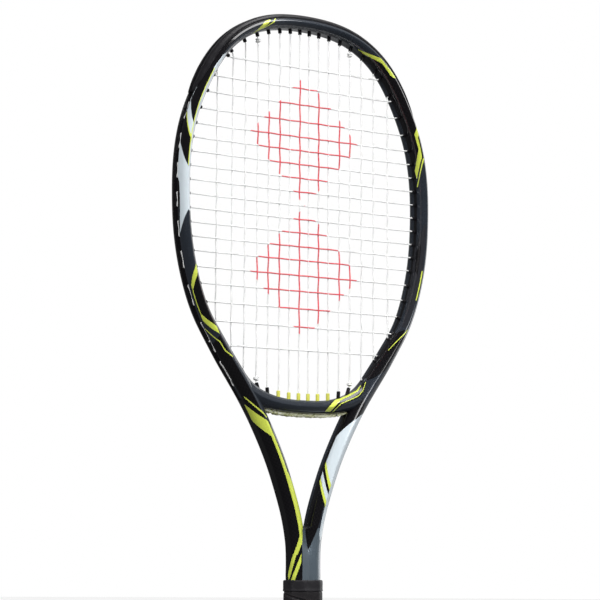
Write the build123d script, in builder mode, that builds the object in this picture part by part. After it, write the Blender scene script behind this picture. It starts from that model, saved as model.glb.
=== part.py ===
from build123d import *

# Open-throat tennis racket, 27 inch, 100 square inch rounded-square head, 16 mains by 19 crosses.
#
# Frame of reference: millimetres, +Z along the racket from the butt to the head, +X across the
# head, +Y through the string bed. The origin is the centre of the butt cap's end face.

import math
import os

os.makedirs("parts", exist_ok=True)

# ---------------------------------------------------------------- driving dimensions
Z_BED = 511.0            # height of the cross strings' middle above the butt end
STRING_D = 1.30          # string diameter
WEAVE = 0.69             # half distance between the two string layers
HOLE_D = 3.70            # grommet hole in the frame
BARREL_D = 3.40          # grommet barrel, outside
BARREL_BORE = 1.80       # grommet barrel, inside
GROOVE_W = 6.40          # grommet groove in the frame's outer side
GROOVE_DEEP = 2.80
LOW_DEEP = 1.70          # groove under the throat bridge
LOW_RAIL = 3.6           # rails of the bridge strip stand this far below the bridge
CHANNEL_W = 4.40         # channel in the grommet strip that the string loops lie in
WALL = 1.60              # laminate wall of the frame tube
TIP = 3.4                # a barrel stands this far out of the inner wall
TIP_LOW = 6.3            # the same at the throat bridge
LIP = 1.3                # free string between a barrel's mouth and its bend
GAP = 0.10               # clearance between a strip and its groove

GRIP_HALF = (17.0, 15.0)        # outside of the grip, half across X and Y
GRIP_THICK = 1.75
PALLET_HALF = (15.2, 13.2)
CAP_HALF = (19.4, 17.4)         # flare of the butt cap
CAP_H = 22.0
COLLAR_LOW, COLLAR_TOP = 171.6, 181.4
COLLAR_TRAVEL = 14.0
DOOR_HALF = (9.0, 6.5)
DOOR_EDGE = 5.7                 # the door's hinge side ends here, short of the hinge

HALF_MAINS = [5.03, 15.3, 26.3, 38.0, 49.6, 62.5, 75.8, 91.7]
CROSSES = [127.7, 109.0, 94.1, 78.6, 64.55, 52.1, 39.6, 27.0, 14.6, 2.2, -10.2,
           -22.5, -34.9, -47.2, -60.9, -75.0, -90.7, -107.0, -127.7]

# centre line of one leg of the hairpin: x, z above the bed's middle, half width, half thickness
LEG = [
    (0.0, 167.2, 5.15, 11.2),
    (22.0, 166.1, 5.15, 11.2),
    (43.5, 162.0, 5.15, 11.4),
    (81.1, 140.4, 5.20, 11.8),
    (105.6, 105.6, 5.30, 12.2),
    (120.5, 69.6, 5.25, 12.6),
    (126.9, 34.0, 5.20, 12.8),
    (127.7, 0.0, 5.20, 12.8),
    (125.4, -33.6, 5.25, 12.8),
    (118.4, -68.4, 5.35, 12.5),
    (104.4, -104.4, 5.75, 12.1),
    (94.0, -120.9, 6.35, 11.9),
    (81.8, -139.0, 6.95, 11.7),
    (68.8, -157.0, 7.30, 11.5),
    (57.6, -173.5, 7.30, 11.4),
    (47.7, -190.1, 7.20, 11.4),
    (36.7, -211.0, 7.15, 11.3),
    (27.2, -232.0, 7.20, 11.2),
    (19.4, -253.0, 7.25, 11.1),
    (14.8, -267.0, 7.30, 11.0),
    (11.4, -280.0, 7.35, 10.9),
    (9.4, -290.0, 7.45, 10.8),
    (8.0, -300.0, 7.60, 10.6),
    (7.45, -310.0, 7.75, 10.5),
    (7.40, -320.0, 7.75, 10.5),
    (7.40, -329.0, 7.72, 10.5),
    (7.08, -337.0, 6.92, 10.1),
    (6.80, -346.0, 6.40, 9.75),
    (6.67, -355.0, 6.22, 9.62),
    (6.65, -364.0, 6.20, 9.6),
    (6.65, -390.0, 6.20, 9.6),
    (6.65, -430.0, 6.20, 9.6),
    (6.65, -470.0, 6.20, 9.6),
    (6.65, -507.0, 6.20, 9.6),
]
# centre line of one half of the throat bridge, from its middle outwards
BRIDGE = [
    (0.0, -178.0, 5.8, 10.2),
    (20.0, -177.4, 5.9, 10.2),
    (36.0, -175.2, 6.5, 10.3),
    (49.5, -171.6, 7.6, 10.5),
    (62.0, -165.0, 8.6, 10.7),
    (73.0, -153.5, 8.6, 10.9),
]
BULGE = 0.68             # handle length of the section's quarter curves: 0.552 is an ellipse


# ---------------------------------------------------------------- curves
def cubic(t, v):
    """Natural cubic spline through v at t, as a function of t."""
    n = len(t)
    h = [t[i + 1] - t[i] for i in range(n - 1)]
    lo, di, up, r = [0.0] * n, [1.0] * n, [0.0] * n, [0.0] * n
    for i in range(1, n - 1):
        lo[i], di[i], up[i] = h[i - 1], 2 * (h[i - 1] + h[i]), h[i]
        r[i] = 6 * ((v[i + 1] - v[i]) / h[i] - (v[i] - v[i - 1]) / h[i - 1])
    for i in range(1, n):
        w = lo[i] / di[i - 1]
        di[i] -= w * up[i - 1]
        r[i] -= w * r[i - 1]
    m = [0.0] * n
    m[-1] = r[-1] / di[-1]
    for i in range(n - 2, -1, -1):
        m[i] = (r[i] - up[i] * m[i + 1]) / di[i]

    def at(x):
        k = max(0, min(n - 2, next((i for i in range(n - 1) if x <= t[i + 1]), n - 2)))
        a, b = (t[k + 1] - x) / h[k], (x - t[k]) / h[k]
        return (a * v[k] + b * v[k + 1]
                + ((a ** 3 - a) * m[k] + (b ** 3 - b) * m[k + 1]) * h[k] ** 2 / 6)

    return at


class Line2:
    """A symmetric centre line in the XZ plane, with its half width and half thickness."""

    def __init__(self, half):
        pts = [(-x, z, a, b) for x, z, a, b in half[:0:-1]] + list(half)
        t = [0.0]
        for p, q in zip(pts, pts[1:]):
            t.append(t[-1] + math.hypot(q[0] - p[0], q[1] - p[1]))
        mid = t[-1] / 2
        self.t = [s - mid for s in t]
        self.end = mid
        self.f = [cubic(self.t, [p[i] for p in pts]) for i in range(4)]

    def at(self, s):
        return [f(s) for f in self.f]

    def frame(self, s):
        """Point, tangent, outward normal, half width, half thickness at s."""
        x, z, a, b = self.at(s)
        x0, z0 = self.f[0](s - 0.05), self.f[1](s - 0.05)
        x1, z1 = self.f[0](s + 0.05), self.f[1](s + 0.05)
        n = math.hypot(x1 - x0, z1 - z0)
        tx, tz = (x1 - x0) / n, (z1 - z0) / n
        return (x, z), (tx, tz), (-tz, tx), a, b


leg = Line2(LEG)
arc = Line2(BRIDGE)


def plane_at(line, s):
    (x, z), (tx, tz), (nx, nz), a, b = line.frame(s)
    return Plane(origin=(x, 0, z + Z_BED), x_dir=(nx, 0, nz), z_dir=(tx, 0, tz)), a, b


def quarters(a, b, shift=0.0):
    """Four curves of a squared oval, half width a along the first axis and b along the second."""
    k = BULGE
    for p, q in ((1, 1), (-1, 1), (-1, -1), (1, -1)):
        ends = [(shift + p * a, 0), (shift + p * a, q * k * b), (shift + p * k * a, q * b), (shift, q * b)]
        yield ends if p * q > 0 else ends[::-1]


def part_quarter(a, b, t):
    """The quarter curve from (a, 0), cut off at parameter t."""
    p = [(a, 0.0), (a, BULGE * b), (BULGE * a, b), (0.0, b)]
    out = [p[0]]
    while len(p) > 1:
        p = [((1 - t) * u[0] + t * v[0], (1 - t) * u[1] + t * v[1]) for u, v in zip(p, p[1:])]
        out.append(p[0])
    return out


def stations(lo, hi, step):
    n = max(2, round((hi - lo) / step))
    return [lo + (hi - lo) * k / n for k in range(n + 1)]


# parameter values along the leg where the section changes character
def s_at_z(z):
    """s on the right leg where the centre line passes height z above the bed's middle."""
    lo, hi = 0.0, leg.end
    for _ in range(60):
        m = (lo + hi) / 2
        if leg.f[1](m) > z:
            lo = m
        else:
            hi = m
    return lo


S_END = leg.end
S_GROOVE = s_at_z(-171.0)      # the grommet groove ends here
S_RAILS = s_at_z(89.0)         # the bumper's rails end here
S_BUMPER = s_at_z(75.5)        # the bumper's strip ends here and the side strip starts


def blend(z, z0, z1):
    """0 above z0, 1 below z1, smooth between."""
    t = min(1.0, max(0.0, (z0 - z) / (z0 - z1)))
    return t * t * (3 - 2 * t)


# ---------------------------------------------------------------- where the strings pass the frame
def crossing(line, coord, value, lo, hi, off):
    """s between lo and hi where the curve off inwards of the centre line has coord == value."""
    prev = None
    n = 900
    for k in range(n + 1):
        s = lo + (hi - lo) * k / n
        (x, z), _, (nx, nz), a, _ = line.frame(s)
        p = ((x, z)[coord] - (nx, nz)[coord] * (a + off)) - value
        if prev is not None and p * prev[1] <= 0 and p != prev[1]:
            w = prev[1] / (prev[1] - p)
            return prev[0] + (s - prev[0]) * w
        prev = (s, p)
    return None


# reach and lean of the barrels that stand close to a neighbour at the corners of the bed
SHORT = {
    (0, -1, 91.7): (0.8, 0.35), (1, -107.0): (0.8, 0.35),
    (0, 1, 91.7): (2.2, 0.72), (1, 109.0): (2.2, 0.72),
    (0, -1, 75.8): (1.6, 0.72), (1, -127.7): (1.6, 0.72),
}


def end_of(kind, value, side):
    """Bend point of one string end and the direction it leaves the bed in, in the XZ plane.

    kind 0 is a main, side +1 its top end and -1 its bottom end.
    kind 1 is a cross, side +1 its right end and -1 its left end.
    """
    sg = (1 if value > 0 else -1) if kind == 0 else side
    v = abs(value) if kind == 0 else value
    if kind == 0 and side < 0 and v < 60:
        s = crossing(arc, 0, v, 0.0, arc.end, 0.0)
        (x, z), _, (nx, nz), a, _ = arc.frame(s)
        lean = {49.6: 0.34, 38.0: 0.06}.get(v, 0.0)
        q = math.hypot(lean, 1.0)
        return (sg * v, z + a + TIP_LOW + LIP), (-sg * lean / q, -1.0 / q)
    if kind == 0 and side < 0 and v < 70:
        return (sg * v, -149.6), (sg * 0.60, -0.80)
    # two ends meet the wall so close together that their barrels are short and nearly straight
    tip, mix = SHORT.get((kind, side, v) if kind == 0 else (kind, v), (TIP, 0.72))
    if kind == 0:
        lo, hi = (0.0, s_at_z(60)) if side > 0 else (s_at_z(-70), s_at_z(-165))
        s, run = crossing(leg, 0, v, lo, hi, tip + LIP), (0.0, float(side))
    else:
        s, run = crossing(leg, 1, v, 1.0, s_at_z(-165), tip + LIP), (1.0, 0.0)
    (x, z), _, (nx, nz), a, _ = leg.frame(s)
    dx, dz = mix * nx + (1 - mix) * run[0], mix * nz + (1 - mix) * run[1]
    q = math.hypot(dx, dz)
    px, pz = x - nx * (a + tip + LIP), z - nz * (a + tip + LIP)
    return (sg * px, pz), (sg * dx / q, dz / q)


def exit_of(bend, out, line, depth):
    """Distance along a string end to the curve depth inside the outer side, and its s there."""
    sg = 1 if bend[0] > 0 else -1

    def inside(d):
        x, z = sg * (bend[0] + out[0] * d), bend[1] + out[1] * d
        s = nearest(line, x, z)
        (cx, cz), _, (nx, nz), a, _ = line.frame(s)
        side = (x - cx) * nx + (z - cz) * nz
        return (-side if line is arc else side) - (a - depth), s

    d = LIP
    while inside(d)[0] < 0:
        d += 2.0
    lo, hi = d - 2.0, d
    for _ in range(12):
        d = (lo + hi) / 2
        lo, hi = (d, hi) if inside(d)[0] < 0 else (lo, d)
    return d, sg * inside(d)[1]


def nearest(line, x, z):
    """s of the point of a centre line's right half that is nearest to x, z."""
    lo, hi = 0.0, (S_GROOVE + 20 if line is leg else line.end)
    table = coarse.setdefault(line, [(hi * k / 60, line.f[0](hi * k / 60), line.f[1](hi * k / 60))
                                     for k in range(61)])
    s = min(table, key=lambda q: (q[1] - x) ** 2 + (q[2] - z) ** 2)[0]
    for _ in range(6):
        (cx, cz), (tx, tz), _, _, _ = line.frame(s)
        s = min(hi, max(lo, s + (x - cx) * tx + (z - cz) * tz))
    return s


coarse = {}


class End:
    def __init__(self, kind, value, side):
        self.bend, self.out = end_of(kind, value, side)
        self.line = arc if kind == 0 and side < 0 and abs(value) < 60 else leg
        self.low = self.line is arc
        # loops lie this far inside the outer side, and the barrel joins its strip there too
        self.loop_d, self.s = exit_of(self.bend, self.out, self.line, LOOP_IN if not self.low else LOOP_LOW)
        self.base_d = exit_of(self.bend, self.out, self.line, GROOVE_DEEP - 0.5 if not self.low else 0.6)[0]

        self.y = WEAVE if kind == 0 else -WEAVE

    def at(self, d):
        return self.bend[0] + self.out[0] * d, self.bend[1] + self.out[1] * d

    def plane(self, d):
        x, z = self.at(d)
        return Plane(origin=(x, self.y, z + Z_BED), x_dir=(0, 1, 0), z_dir=(self.out[0], 0, self.out[1]))


LOOP_IN = 1.00      # string loops' centre line, inside the frame's outer side
LOOP_LOW = -1.30    # the same under the throat bridge, so outside it
MAINS = [-x for x in HALF_MAINS[::-1]] + HALF_MAINS
top = [End(0, x, 1) for x in MAINS]
low = [End(0, x, -1) for x in MAINS]
right = [End(1, z, 1) for z in CROSSES]
left = [End(1, z, -1) for z in CROSSES]


def groove_point(line, s, depth):
    (x, z), _, (nx, nz), a, _ = line.frame(s)
    if line is arc:
        nx, nz = -nx, -nz
    return x + nx * (a - depth), z + nz * (a - depth)


def loop(e, f):
    """Points of a string loop between two ends, along the groove."""
    line = e.line
    depth = LOOP_LOW if e.low else LOOP_IN
    n = max(1, round(abs(f.s - e.s) / 6.0))
    return [groove_point(line, e.s + (f.s - e.s) * k / n, depth) for k in range(1, n)]


def string_path(runs):
    """Corner points and corner radii of a string: runs is a list of (start End, finish End)."""
    pts, rad = [], []
    for i, (e, f) in enumerate(runs):
        if i == 0:
            pts.append(e.at(e.loop_d + 0.3))
            rad.append(None)
        pts += [e.bend, f.bend]
        rad += ["bend", "bend"]
        if i == len(runs) - 1:
            pts.append(f.at(f.loop_d + 0.3))
            rad.append(None)
        else:
            g = runs[i + 1][0]
            mid = loop(f, g)
            pts += [f.at(f.loop_d)] + mid + [g.at(g.loop_d)]
            rad += ["corner"] + ["groove"] * len(mid) + ["corner"]
    out_p, out_r = [pts[0]], []
    for k in range(1, len(pts) - 1):
        p, q, r = pts[k - 1], pts[k], pts[k + 1]
        u, v = (q[0] - p[0], q[1] - p[1]), (r[0] - q[0], r[1] - q[1])
        turn = abs(math.atan2(u[0] * v[1] - u[1] * v[0], u[0] * v[0] + u[1] * v[1]))
        if turn < 0.004:
            continue
        t = math.tan(turn / 2)
        if rad[k] == "corner":
            r_ = min(1.3, 1.3 / t)
        elif rad[k] == "groove":
            r_ = min(30.0, 1.8 / t)
        else:
            r_ = min(12.0, 1.1 / t)
        out_p.append(q)
        out_r.append(r_)
    out_p.append(pts[-1])
    return out_p, out_r


# one main string: starts at the lower left tie-off, runs out through both middle mains
order = list(range(16))
main_runs = []
for i in order:
    go_up = i % 2 == 0
    main_runs.append((low[i], top[i]) if go_up else (top[i], low[i]))
cross_runs = [(left[j], right[j]) if j % 2 == 0 else (right[j], left[j]) for j in range(19)]
main_pts, main_rad = string_path(main_runs)
cross_pts, cross_rad = string_path(cross_runs)
print("main string corners", len(main_pts), "smallest radius", round(min(main_rad), 2))
print("cross string corners", len(cross_pts), "smallest radius", round(min(cross_rad), 2))


START = -24.0                   # the right leg is drawn from a little past the middle, then cut there
S_STRAIGHT = s_at_z(-364.0)     # the leg is straight and constant below this


# ---------------------------------------------------------------- frame tube
with BuildPart() as leg_envelope:
    for s in stations(START, S_STRAIGHT, 12.0):
        plane, a, b = plane_at(leg, s)
        with BuildSketch(plane):
            with BuildLine():
                for q in quarters(a, b):
                    Bezier(*q)
            make_face()
    loft()
    plane, a, b = plane_at(leg, S_STRAIGHT - 0.5)
    with BuildSketch(plane):
        with BuildLine():
            for q in quarters(6.2, 9.6):
                Bezier(*q)
        make_face()
    extrude(amount=S_END - S_STRAIGHT + 0.5)

with BuildPart() as frame_tube:
    add(leg_envelope.part)
    # web that closes the fork above the shaft
    with BuildSketch(Plane.XZ):
        with BuildLine():
            zs = [-280.0, -285.5, -291.0, -296.5, -302.0, -307.5]
            wall = []
            for z in zs:
                (x, zz), _, (nx, nz), a, _ = leg.frame(s_at_z(z))
                wall.append((x - nx * (a - 1.0), zz - nz * (a - 1.0) + Z_BED))
            Polyline((0, Z_BED - 284.5), (1.6, Z_BED - 283.8), (3.0, Z_BED - 281.9), *wall,
                     (0, Z_BED - 308.5), close=True)
        make_face()
    extrude(amount=9.4, both=True)
    # the tube's hollow, set inwards along the hoop to leave wall behind the groove
    for s in stations(START + 6, S_STRAIGHT, 12.0):
        plane, a, b = plane_at(leg, s)
        low_down = blend(leg.f[1](s), -172, -200)
        far = (a - GROOVE_DEEP - WALL) * (1 - low_down) + (a - WALL) * low_down
        near = -(a - WALL)
        with BuildSketch(plane):
            with BuildLine():
                for q in quarters((far - near) / 2, b - WALL, (far + near) / 2):
                    Bezier(*q)
            make_face()
    loft(mode=Mode.SUBTRACT)
    plane, a, b = plane_at(leg, S_STRAIGHT - 0.5)
    with BuildSketch(plane):
        with BuildLine():
            for q in quarters(6.2 - WALL, 9.6 - WALL):
                Bezier(*q)
        make_face()
    extrude(amount=S_END - S_STRAIGHT + 2.0, mode=Mode.SUBTRACT)
    # grommet groove in the outer side
    for s in stations(START - 2.0, S_GROOVE, 12.0):
        plane, a, b = plane_at(leg, s)
        with BuildSketch(plane):
            with Locations((a - GROOVE_DEEP + 5.0, 0)):
                Rectangle(10.0, GROOVE_W)
    loft(mode=Mode.SUBTRACT)
    split(bisect_by=Plane.YZ, keep=Keep.TOP)
    ends = [e for e in top + low if e.bend[0] > 0 and not e.low] + right
    for e in ends:
        with Locations(e.plane(LIP)):
            Cylinder(HOLE_D / 2, e.loop_d - LIP + 1.5, align=(Align.CENTER, Align.CENTER, Align.MIN),
                     mode=Mode.SUBTRACT)
    mirror(about=Plane.YZ)


def finish(node, name):
    node.part.label = name
    export_step(node.part, f"parts/{name}.step")
    print(name, round(node.part.volume), len(node.part.solids()))


finish(frame_tube, "frame_tube")

# ---------------------------------------------------------------- throat bridge
A_END = arc.end
with BuildPart() as throat_bridge:
    for s in stations(-A_END, A_END, 12.0):
        plane, a, b = plane_at(arc, s)
        with BuildSketch(plane):
            with BuildLine():
                for q in quarters(a, b):
                    Bezier(*q)
            make_face()
    loft()
    # hollow, with more wall under the grommet groove on its lower side
    for s in stations(-A_END + 4, A_END - 4, 12.0):
        plane, a, b = plane_at(arc, s)
        far, near = a - WALL, -(a - LOW_DEEP - WALL)
        with BuildSketch(plane):
            with BuildLine():
                for q in quarters((far - near) / 2, b - WALL, (far + near) / 2):
                    Bezier(*q)
            make_face()
    loft(mode=Mode.SUBTRACT)
    for s in stations(-56.0, 56.0, 8.0):
        plane, a, b = plane_at(arc, s)
        with BuildSketch(plane):
            with Locations((-(a - LOW_DEEP) - 5.0, 0)):
                Rectangle(10.0, GROOVE_W)
    loft(mode=Mode.SUBTRACT)
    add(leg_envelope.part, mode=Mode.SUBTRACT)
    add(mirror(leg_envelope.part, about=Plane.YZ), mode=Mode.SUBTRACT)
    for e in low:
        if abs(e.bend[0]) < 80:
            with Locations(e.plane(-1.5)):
                Cylinder(HOLE_D / 2, e.loop_d + 3.5, align=(Align.CENTER, Align.CENTER, Align.MIN),
                         mode=Mode.SUBTRACT)
body = throat_bridge.part.solids().sort_by(SortBy.VOLUME)[-1]
print("bridge solids", [round(q.volume) for q in throat_bridge.part.solids()])
with BuildPart() as throat_bridge:
    add(body)
finish(throat_bridge, "throat_bridge")


# ---------------------------------------------------------------- grommets
def barrels(ends):
    """Barrels standing on a strip that is already drawn, then their bores and mouths."""
    for e in ends:
        with Locations(e.plane(LIP)):
            Cylinder(BARREL_D / 2, e.base_d - LIP, align=(Align.CENTER, Align.CENTER, Align.MIN))
    for e in ends:
        with Locations(e.plane(LIP - 0.5)):
            Cylinder(BARREL_BORE / 2, e.loop_d - LIP + 2.0, align=(Align.CENTER, Align.CENTER, Align.MIN),
                     mode=Mode.SUBTRACT)
        with Locations(e.plane(e.base_d + 0.05)):
            Cylinder(1.5, 5.0, align=(Align.CENTER, Align.CENTER, Align.MIN), mode=Mode.SUBTRACT)


def band(line, s0, s1, lo, hi, half, step=8.0):
    """Sections of a rectangle swept along a line: lo to hi outwards from the outer side, half wide."""
    faces = []
    for s in stations(s0, s1, step):
        plane, a, b = plane_at(line, s)
        mid = a + (lo + hi) / 2
        with BuildSketch(plane) as section:
            with Locations((-mid if line is arc else mid, 0)):
                Rectangle(hi - lo, 2 * half)
        faces.append(section.sketch.faces()[0])
    return faces


STRIP_LOW, STRIP_TOP = -(GROOVE_DEEP - GAP), -(GROOVE_DEEP - 0.9)
STRIP_HALF = GROOVE_W / 2 - GAP

with BuildPart() as bumper_guard:
    # the rails hug the tube's outer side and thin out towards their ends
    for s in stations(START, S_RAILS, 10.0):
        plane, a, b = plane_at(leg, s)
        fade = min(1.0, (S_RAILS - s) / 26.0) ** 0.5 if s < S_RAILS else 0.0
        h = 1.45 + 1.40 * fade
        # the front and back edges draw in to a lens shape
        t = 0.17 + 0.33 * (1 - max(0.0, (s - S_RAILS + 34.0) / 34.0) ** 2)
        inner = part_quarter(a + 0.12, b + 0.12, t)
        outer = part_quarter(a + 0.12 + h, b + 0.12 + 0.75 * h, t)
        with BuildSketch(plane):
            with BuildLine():
                Bezier(*outer)
                Line(outer[-1], inner[-1])
                Bezier(*inner[::-1])
                Bezier(*[(x, -y) for x, y in inner])
                Line((inner[-1][0], -inner[-1][1]), (outer[-1][0], -outer[-1][1]))
                Bezier(*[(x, -y) for x, y in outer[::-1]])
            make_face()
    loft()
    loft(sections=band(leg, START, S_RAILS, STRIP_LOW, 0.6, STRIP_HALF))
    loft(sections=band(leg, S_RAILS - 1.0, S_BUMPER, STRIP_LOW, STRIP_TOP, STRIP_HALF, 4.0))
    loft(sections=band(leg, START - 2, S_RAILS + 1.0, STRIP_TOP, 8.0, CHANNEL_W / 2), mode=Mode.SUBTRACT)
    split(bisect_by=Plane.YZ, keep=Keep.TOP)
    barrels([e for e in top if e.bend[0] > 0] + right[:4])
    mirror(about=Plane.YZ)
finish(bumper_guard, "bumper_guard")

with BuildPart() as side_grommet_strip_right:
    loft(sections=band(leg, S_BUMPER + 0.4, S_GROOVE - 1.0, STRIP_LOW, STRIP_TOP, STRIP_HALF))
    barrels(right[4:] + [e for e in low if e.bend[0] > 60])
finish(side_grommet_strip_right, "side_grommet_strip_right")
with BuildPart() as side_grommet_strip_left:
    add(mirror(side_grommet_strip_right.part, about=Plane.YZ))
finish(side_grommet_strip_left, "side_grommet_strip_left")


LOW_BODY = (-(LOW_DEEP - GAP), LOW_RAIL, STRIP_HALF)
LOW_CHANNEL = (0.4, LOW_RAIL + 3.0, CHANNEL_W / 2)

with BuildPart() as bridge_grommet_strip:
    loft(sections=band(arc, -32.0, 32.0, *LOW_BODY, 6.0))
    loft(sections=band(arc, -33.0, 33.0, *LOW_CHANNEL, 6.0), mode=Mode.SUBTRACT)
    barrels([e for e in low if abs(e.bend[0]) < 30])
finish(bridge_grommet_strip, "bridge_grommet_strip")
with BuildPart() as bridge_grommets_right:
    loft(sections=band(arc, 32.5, 47.5, *LOW_BODY, 5.0))
    loft(sections=band(arc, 31.5, 48.5, *LOW_CHANNEL, 5.0), mode=Mode.SUBTRACT)
    barrels([e for e in low if 30 < e.bend[0] < 60])
    add(leg_envelope.part, mode=Mode.SUBTRACT)
finish(bridge_grommets_right, "bridge_grommets_right")
with BuildPart() as bridge_grommets_left:
    add(mirror(bridge_grommets_right.part, about=Plane.YZ))
finish(bridge_grommets_left, "bridge_grommets_left")


# ---------------------------------------------------------------- strings
def string(points, radii, y):
    with BuildPart() as out:
        with BuildLine(Plane.XZ.offset(-y)) as path:
            FilletPolyline(*[(x, z + Z_BED) for x, z in points], radius=radii)
        wire = path.wires()[0]
        with BuildSketch(Plane(origin=wire @ 0, z_dir=wire % 0)):
            Circle(STRING_D / 2)
        sweep(path=wire)
    length = wire.length
    print("string length", round(length), "volume share", round(out.part.volume / (length * math.pi * STRING_D ** 2 / 4), 4))
    return out


main_string = string(main_pts, main_rad, WEAVE)
finish(main_string, "main_string")
cross_string = string(cross_pts, cross_rad, -WEAVE)
finish(cross_string, "cross_string")

# overhand knots of the tied-off ends, drawn tight round a neighbouring main beside its barrel
with BuildPart() as string_knots:
    for e in (low[3], low[12], top[3], top[12]):
        x, z = e.bend
        up = 1 if e in low else -1
        for k in (0, 1):
            with Locations(Plane(origin=(x, WEAVE, z + Z_BED + up * (1.6 + 1.5 * k)), x_dir=(1, 0, 0),
                                 z_dir=(0.18 * (1 - 2 * k), 0, 1))):
                Torus(1.62, 0.78)
finish(string_knots, "string_knots")


# ---------------------------------------------------------------- handle
def octagon(hx, hy):
    f, g = hx * 8.0 / 17.0, hy * 6.3 / 15.0
    return [(f, -hy), (hx, -g), (hx, g), (f, hy), (-f, hy), (-hx, g), (-hx, -g), (-f, -hy)]


def ring(z0, z1, outer, inner):
    with BuildPart() as out:
        with BuildSketch(Plane.XY.offset(z0)):
            with BuildLine():
                Polyline(*octagon(*outer), close=True)
            make_face()
            if inner:
                with BuildLine():
                    Polyline(*octagon(*inner), close=True)
                make_face(mode=Mode.SUBTRACT)
        extrude(amount=z1 - z0)
    return out


PALLET_LOW, PALLET_TOP, GRIP_TOP = 3.4, 174.0, 177.0
GRIP_STEP = 171.3        # the wrap is skived thin above this, under the collar
CHANNEL_STEP = 145.0     # the legs start to widen above this
blank = ring(PALLET_LOW, PALLET_TOP, PALLET_HALF, None)
with BuildPart() as pallets:
    add(blank.part)
    # channels for the two legs, a little larger than they are, open to each other
    for z0, z1, c, half_w, half_t in ((0.0, CHANNEL_STEP, 6.65, 6.45, 9.85),
                                      (CHANNEL_STEP, PALLET_TOP + 1.0, 7.10, 7.22, 10.35)):
        for side in (1, -1):
            with BuildSketch(Plane.XY.offset(z0)):
                with BuildLine():
                    for q in quarters(half_w, half_t, side * c):
                        Bezier(*q)
                make_face()
            extrude(amount=z1 - z0, mode=Mode.SUBTRACT)
        with BuildSketch(Plane.XY.offset(z0)):
            Rectangle(2 * c, 2 * half_t)
        extrude(amount=z1 - z0, mode=Mode.SUBTRACT)
with BuildPart() as handle_pallet_front:
    add(pallets.part)
    split(bisect_by=Plane.XZ.offset(0.05), keep=Keep.TOP)
finish(handle_pallet_front, "handle_pallet_front")
with BuildPart() as handle_pallet_back:
    add(pallets.part)
    split(bisect_by=Plane.XZ.offset(-0.05), keep=Keep.BOTTOM)
finish(handle_pallet_back, "handle_pallet_back")

for side, name in ((1, "leg_plug_right"), (-1, "leg_plug_left")):
    with BuildPart() as plug:
        with BuildSketch(Plane.XY.offset(Z_BED - 507.0)):
            with Locations((side * 6.65, 0)):
                with BuildLine():
                    for q in quarters(6.2 - WALL - 0.05, 9.6 - WALL - 0.05):
                        Bezier(*[(side * 6.65 + x, y) for x, y in q])
                make_face()
        extrude(amount=34.0)
    finish(plug, name)

SKIVED = (GRIP_HALF[0] - 0.72, GRIP_HALF[1] - 0.72)
with BuildPart() as grip_wrap:
    for z0, z1, size in ((CAP_H + 0.1, GRIP_STEP, GRIP_HALF), (GRIP_STEP, GRIP_TOP, SKIVED)):
        with BuildSketch(Plane.XY.offset(z0)):
            with BuildLine():
                Polyline(*octagon(*size), close=True)
            make_face()
            with BuildLine():
                Polyline(*octagon(PALLET_HALF[0] + 0.05, PALLET_HALF[1] + 0.05), close=True)
            make_face(mode=Mode.SUBTRACT)
        extrude(amount=z1 - z0)
finish(grip_wrap, "grip_wrap")
finishing_tape = ring(GRIP_TOP - 4.5, GRIP_TOP - 0.2, (SKIVED[0] + 0.20, SKIVED[1] + 0.20),
                      (SKIVED[0] + 0.02, SKIVED[1] + 0.02))
finish(finishing_tape, "finishing_tape")

with BuildPart() as grip_collar:
    with BuildSketch(Plane.XY.offset(COLLAR_LOW)):
        with BuildLine():
            Polyline(*octagon(17.3, 15.3), close=True)
        make_face()
        fillet(vertices(), 2.3)
    extrude(amount=COLLAR_TOP - COLLAR_LOW)
    fillet(edges().group_by(Axis.Z)[-1], 0.7)
    with BuildSketch(Plane.XY.offset(COLLAR_LOW - 0.1)):
        with BuildLine():
            Polyline(*octagon(SKIVED[0] + 0.42, SKIVED[1] + 0.42), close=True)
        make_face()
    extrude(amount=5.8, mode=Mode.SUBTRACT)
    with BuildSketch(Plane.XY.offset(COLLAR_LOW)):
        Rectangle(2 * 15.6, 2 * 10.95)
        fillet(vertices(), 7.0)
    extrude(amount=30.0, mode=Mode.SUBTRACT)
finish(grip_collar, "grip_collar")

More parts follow.
